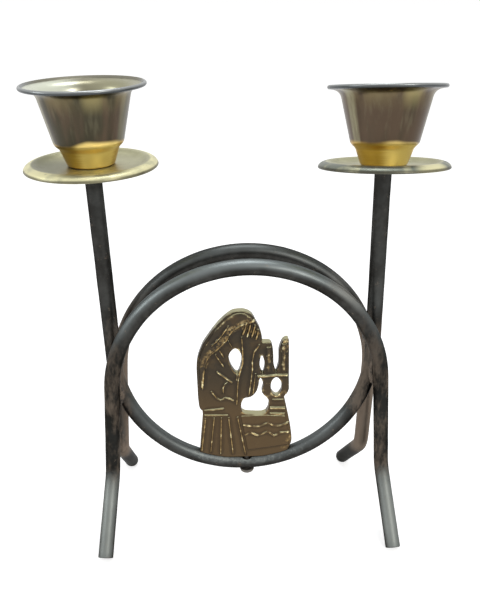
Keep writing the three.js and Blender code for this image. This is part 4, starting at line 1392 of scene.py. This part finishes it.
def patina_of_cups(tree, place, radius, height, beside, streaks):
    """The outside of the cups: dark patina in browner bands, with paler streaks, partly painted reflections,
    and a painted gold highlight under the lip.
    """
    tones = colours()
    throat = bpy.context.scene.candle_seat_sizes.cup_throat_height
    bands = noise(tree, place, 150.0, detail=2.0, stretch=(1, 1, 0.06), shift=(0.7, 0.2, 0))
    browner = total(tree, bands, ramped(tree, beside, *LEFT_TO_RIGHT, -0.08, 0.12))
    outside = blended(tree, ramped(tree, browner, 0.35, 0.65), tones.patina, tones.brown_patina)
    streaked = product(tree, ramped(tree, streaks, 0.5, 0.75), 0.16)
    outside = blended(tree, streaked, outside, tones.pale_patina_and_reflection)
    # Painted reflections, as paler streaks down the cups
    for direction, start, share in REFLECTED_STREAKS:
        uneven_share = ramped(tree, streaks, 0.3, 0.6, 0.5 * share, share)
        streak = product(tree, facing(tree, place, radius, direction, start), uneven_share)
        outside = blended(tree, streak, outside, tones.pale_patina_and_reflection)
    # A painted gold highlight under the lip, strongest on one side
    under_lip = past(tree, height, throat, *UNDER_LIP)
    patch = product(tree, facing(tree, place, radius, LIP_HIGHLIGHT_SIDE, 0.95), 0.5)
    under_lip_highlight = stronger(tree, ramped(tree, bands, 0.4, 0.65, 0.0, 0.18), patch)
    return bands, blended(tree, product(tree, under_lip, under_lip_highlight), outside, tones.lip_highlight_brass)


def gold_of_necks(tree, place, radius, height, beside, bands):
    """The cups' bright necks, paler in rings and with a painted highlight on one side, and how far a place is
    over their gold.
    """
    tones = colours()
    waist = bpy.context.scene.candle_seat_sizes.cup_waist_height
    line = add_node(tree, "CombineXYZ", X=height, Y=0.0, Z=0.0).outputs[0]
    rings = product(tree, noise(tree, line, 1900.0, detail=3.0, roughness=0.7), 0.5)
    # A painted highlight on one side of the neck
    neck_highlight = product(tree, facing(tree, place, radius, NECK_HIGHLIGHT_SIDE, 0.6), 0.5)
    pale = total(tree, rings, neck_highlight, product(tree, bands, 0.3))
    neck = blended(tree, ramped(tree, pale, 0.38, 0.85), tones.gold, tones.pale_gold_and_highlight)
    creeping = swing(tree, noise(tree, place, 70.0, detail=1.0, shift=(0.3, 0.9, 0.1)), GOLD_CREEP)
    climb = ramped(tree, beside, *reversed(LEFT_TO_RIGHT), 0.0, GOLD_CLIMB)
    climbing = product(tree, facing(tree, place, radius, CLIMBING_SIDE, 0.5), climb)
    over = difference(tree, height, waist - GOLD_UNDER_WAIST)
    over = difference(tree, over, total(tree, creeping, climbing))
    return neck, ramped(tree, over, *OVER_NECK)


def lining_of_cups(tree, place, radius, height):
    """The inside of the cups: painted light at the left, brassy at the right, painted shade towards the
    floor.
    """
    tones = colours()
    # Painted light on the left of the lining
    paler = facing(tree, place, radius, LIT_LINING, 0.35, 0.95)
    inside = blended(tree, paler, tones.inside, tones.lit_inside)
    brassy = product(tree, facing(tree, place, radius, BRASSY_LINING, 0.2), 0.45)
    inside = blended(tree, brassy, inside, tones.pan)
    # Painted shade towards the floor of the cup
    return blended(tree, ramped(tree, height, *LINING_SHADE, 0.8, 0.0), inside, tones.patina)


def cup_look(tree, shader, place):
    """Dark olive-brown patina over bright brass, which shows at the neck; pale inside; painted light and
    shade on the lip, the lining and the neck, and a painted highlight under the lip.
    """
    tones = colours()
    beside = axes_of(tree, place)["X"]
    place, radius, height = upright_place(tree)
    streaks = noise(tree, place, 380.0, detail=3.0, stretch=(1, 1, 0.08))
    bands, outside = patina_of_cups(tree, place, radius, height, beside, streaks)
    neck, over_neck = gold_of_necks(tree, place, radius, height, beside, bands)
    outside = blended(tree, over_neck, neck, outside)
    body = blended(tree, kept(tree, "lining"), outside, lining_of_cups(tree, place, radius, height))

    # Painted light on the top of the rolled lip and painted shade under it
    upper = use_group(tree, lit_upper_sides(), Place=place, Scale=150.0, Breakup=0.3, From=-0.2, To=0.9)["Mask"]
    roll = blended(tree, upper, tones.lip, tones.lit_lip_top)
    behind = product(tree, facing(tree, place, radius, FAR_SIDE, -0.1, 0.6), 0.8)
    body = blended(tree, kept(tree, "lip"), body, blended(tree, behind, roll, tones.inside))

    roughness = total(tree, 0.24, product(tree, streaks, 0.18))
    relief = turned_surface(tree, place, radius, height, scratches=0.3, grain=0.2)
    dress(tree, shader, body, roughness, metallic=0.95, relief=relief, depth=0.00002)


def screw_look(tree, shader, place):
    """Blackened steel, browned a little."""
    tones = colours()
    patches = use_group(tree, mottling(), Place=place, Scale=420.0, Level=0.55, Softness=0.12)
    body = blended(tree, product(tree, patches["Mask"], 0.35), tones.screw, tones.rust)
    roughness = total(tree, 0.35, product(tree, patches["Cloud"], 0.25))
    surface = use_group(tree, fine_surface(), Place=place, Scratches=0.4, Grain=1.0)["Height"]
    dress(tree, shader, body, roughness, metallic=0.8, relief=surface, depth=0.00004)


# Heights over the table between which the casting's tone and its painted highlights change, in metres
BROWNER_BELOW = (0.085, 0.055)
HIGHLIGHT_HEIGHT = (0.055, 0.08)


def bronze_look(tree, shader, place):
    """Dark brown bronze, rubbed to gold on its ridges, with painted highlights on them and painted light
    where it looks up.
    """
    tones = colours()
    wear = kept(tree, "wear")
    rise = axes_of(tree, place)["Z"]
    patches = use_group(tree, mottling(), Place=place, Scale=170.0, Level=0.52, Softness=0.12)
    lower = ramped(tree, rise, *BROWNER_BELOW, 0.15, 0.9)
    warm = stronger(tree, lower, product(tree, patches["Mask"], 0.5))
    body = blended(tree, warm, tones.bronze, tones.warm_bronze)
    body = blended(tree, product(tree, ramped(tree, wear, -0.1, -0.5), 0.3), body, tones.dark_bronze)

    rubs = noise(tree, place, 430.0, detail=3.0)
    specks = noise(tree, place, 900.0, detail=3.0, roughness=0.7)
    speckled = ramped(tree, total(tree, rubs, specks), 0.9, 1.25, 0.0, 0.7)
    near_lines = product(tree, ramped(tree, kept(tree, "rubbed"), 0.0, 1.0), speckled)
    ridges = ramped(tree, total(tree, wear, swing(tree, rubs, 2.0)), 0.3, 1.15)
    rubbed = stronger(tree, ridges, near_lines)
    higher = ramped(tree, rise, *HIGHLIGHT_HEIGHT, 0.55, 1.0)
    # Painted highlights on the ridges, stronger higher up
    bright = product(tree, ramped(tree, rubs, 0.52, 0.7), higher, ramped(tree, wear, 0.1, 0.6, 0.2, 1.0))
    body = blended(tree, rubbed, body, blended(tree, bright, tones.rubbed_bronze, tones.ridge_highlight_bronze))
    # Painted light where the casting looks up
    upper = use_group(tree, lit_upper_sides(), Place=place, Scale=260.0, Breakup=0.5, From=0.45, To=0.85)["Mask"]
    body = blended(tree, product(tree, upper, 0.9), body, tones.lit_upper_bronze)

    dull = total(tree, 0.26, product(tree, patches["Cloud"], 0.25))
    roughness = difference(tree, dull, product(tree, rubbed, 0.12))
    surface = use_group(tree, fine_surface(), Place=place, Scratches=0.2, Grain=0.9)["Height"]
    dress(tree, shader, body, roughness, metallic=0.9, relief=surface, depth=0.00004)


# Stage

FLOOR_SIZE = 6  # metres
FLOOR_TONE = (0.85, 0.85, 0.85)
FLOOR_GLOW = 0.6  # what the floor adds to its lit tone where it is seen, which makes it white
LAMPS_LOOK_AT = Vector((0, 0, 0.1))
# Each lamp's place, its size, its share of the main lamp's power and its tint
LAMPS = {
    "right_lamp": ((0.35, -0.5, 0.5), 0.2, 1.0, (1, 0.97, 0.92)),
    "left_lamp": ((-0.6, -0.15, 0.35), 0.22, 0.6, (0.93, 0.97, 1)),
    "top_lamp": ((0.0, 0.12, 0.75), 0.3, 1.0, (0.96, 0.98, 1)),
}


def seen_directly(tree):
    """1 for rays from the camera and for those that a shiny surface or glass sends on."""
    path = add_node(tree, "LightPath").outputs
    shiny = stronger(tree, path["Is Glossy Ray"], path["Is Transmission Ray"])
    return stronger(tree, path["Is Camera Ray"], shiny)


def floor_material():
    """A plain white floor that keeps the object's shadow."""
    material = bpy.data.materials.new("white_floor")
    material.use_nodes = True
    tree = material.node_tree
    shader = tree.nodes["Principled BSDF"]
    shader.inputs["Base Color"].default_value = (*FLOOR_TONE, 1)
    shader.inputs["Roughness"].default_value = 0.9
    shader.inputs["Specular IOR Level"].default_value = 0.0
    glow = product(tree, seen_directly(tree), FLOOR_GLOW)
    white = add_node(tree, "Emission", Color=(1, 1, 1), Strength=glow)
    both = add_node(tree, "AddShader")
    tree.links.new(shader.outputs[0], both.inputs[0])
    tree.links.new(white.outputs[0], both.inputs[1])
    tree.links.new(both.outputs[0], tree.nodes["Material Output"].inputs["Surface"])
    return material


def make_world(strength):
    """Even light from all round, in front of which the camera and shiny metal see white."""
    world = bpy.data.worlds.new("studio")
    bpy.context.scene.world = world
    world.use_nodes = True
    tree = world.node_tree
    tree.nodes["Background"].inputs["Color"].default_value = (1, 1, 1, 1)
    level = ramped(tree, seen_directly(tree), 0.0, 1.0, strength, 1.0)
    tree.links.new(level, tree.nodes["Background"].inputs["Strength"])


def add_lamp(name, place, size, power, tint):
    """A square soft lamp that looks at the middle of the object."""
    bpy.ops.object.light_add(type="AREA", location=place)
    lamp = bpy.context.object
    lamp.name = name
    lamp.data.shape = "SQUARE"
    lamp.data.size = size
    lamp.data.energy = power
    lamp.data.color = tint
    lamp.rotation_euler = (Vector(place) - LAMPS_LOOK_AT).to_track_quat("Z", "Y").to_euler()


def add_camera(sizes):
    """The camera, at the place and with the view of the photograph."""
    right = Vector((math.cos(sizes.yaw), -math.sin(sizes.yaw), 0))
    level = Vector((math.sin(sizes.yaw), math.cos(sizes.yaw), 0))
    forward = level * math.cos(sizes.pitch) - UP * math.sin(sizes.pitch)
    down = forward.cross(right)
    across = right * math.cos(sizes.roll) + down * math.sin(sizes.roll)
    turn = Matrix((across, -forward.cross(across), -forward)).transposed()
    camera = bpy.data.objects.new("camera", bpy.data.cameras.new("camera"))
    bpy.context.scene.collection.objects.link(camera)
    camera.matrix_world = Matrix.LocRotScale(Vector(sizes.camera_place), turn, None)
    camera.data.lens = sizes.lens
    camera.data.clip_start = 0.01
    bpy.context.scene.camera = camera


class CANDLE_OT_stage(bpy.types.Operator):
    """Set up the camera, the floor and the lamps"""

    bl_idname = "candle.stage"
    bl_label = "Stage"

    def execute(self, context):
        sizes = context.scene.stage_sizes
        context.scene.view_settings.view_transform = "Standard"
        add_camera(sizes)
        make_world(sizes.sky)
        bpy.ops.mesh.primitive_plane_add(size=FLOOR_SIZE)
        floor = context.object
        floor.name = "floor"
        floor.data.materials.append(floor_material())
        for name, (place, size, share, tint) in LAMPS.items():
            add_lamp(name, place, size, share * sizes.lamp_power, tint)
        return {"FINISHED"}


class CANDLE_PT_panel(bpy.types.Panel):
    """The operators that make the candle holder"""

    bl_idname = "CANDLE_PT_panel"
    bl_label = "Candle Holder"
    bl_space_type = "VIEW_3D"
    bl_region_type = "UI"
    bl_category = "Candle Holder"

    def draw(self, context):
        for name in OPERATORS:
            self.layout.operator(f"candle.{name}")


OPERATORS = ["candle_rod", "arches", "welds", "drip_pans", "cups", "screws", "figure", "stage"]
PROPERTIES = {
    "rod_sizes": RodSizes,
    "front_arch_sizes": FrontArchSizes,
    "rear_arch_sizes": RearArchSizes,
    "candle_seat_sizes": CandleSeatSizes,
    "figure_sizes": FigureSizes,
    "candle_finishes": Finishes,
    "stage_sizes": StageSizes,
}
CLASSES = [
    *PROPERTIES.values(),
    CANDLE_OT_candle_rod,
    CANDLE_OT_arches,
    CANDLE_OT_welds,
    CANDLE_OT_drip_pans,
    CANDLE_OT_cups,
    CANDLE_OT_screws,
    CANDLE_OT_figure,
    CANDLE_OT_stage,
    CANDLE_PT_panel,
]


def register():
    """Adds the classes, and the sizes and colours to the scene."""
    for cls in CLASSES:
        bpy.utils.register_class(cls)
    for name, cls in PROPERTIES.items():
        setattr(bpy.types.Scene, name, PointerProperty(type=cls))


def unregister():
    """Takes them away again."""
    for name in PROPERTIES:
        delattr(bpy.types.Scene, name)
    for cls in reversed(CLASSES):
        bpy.utils.unregister_class(cls)


def main():
    """Makes every piece and the stage."""
    register()
    for name in OPERATORS:
        getattr(bpy.ops.candle, name)()


if __name__ == "__main__":
    main()
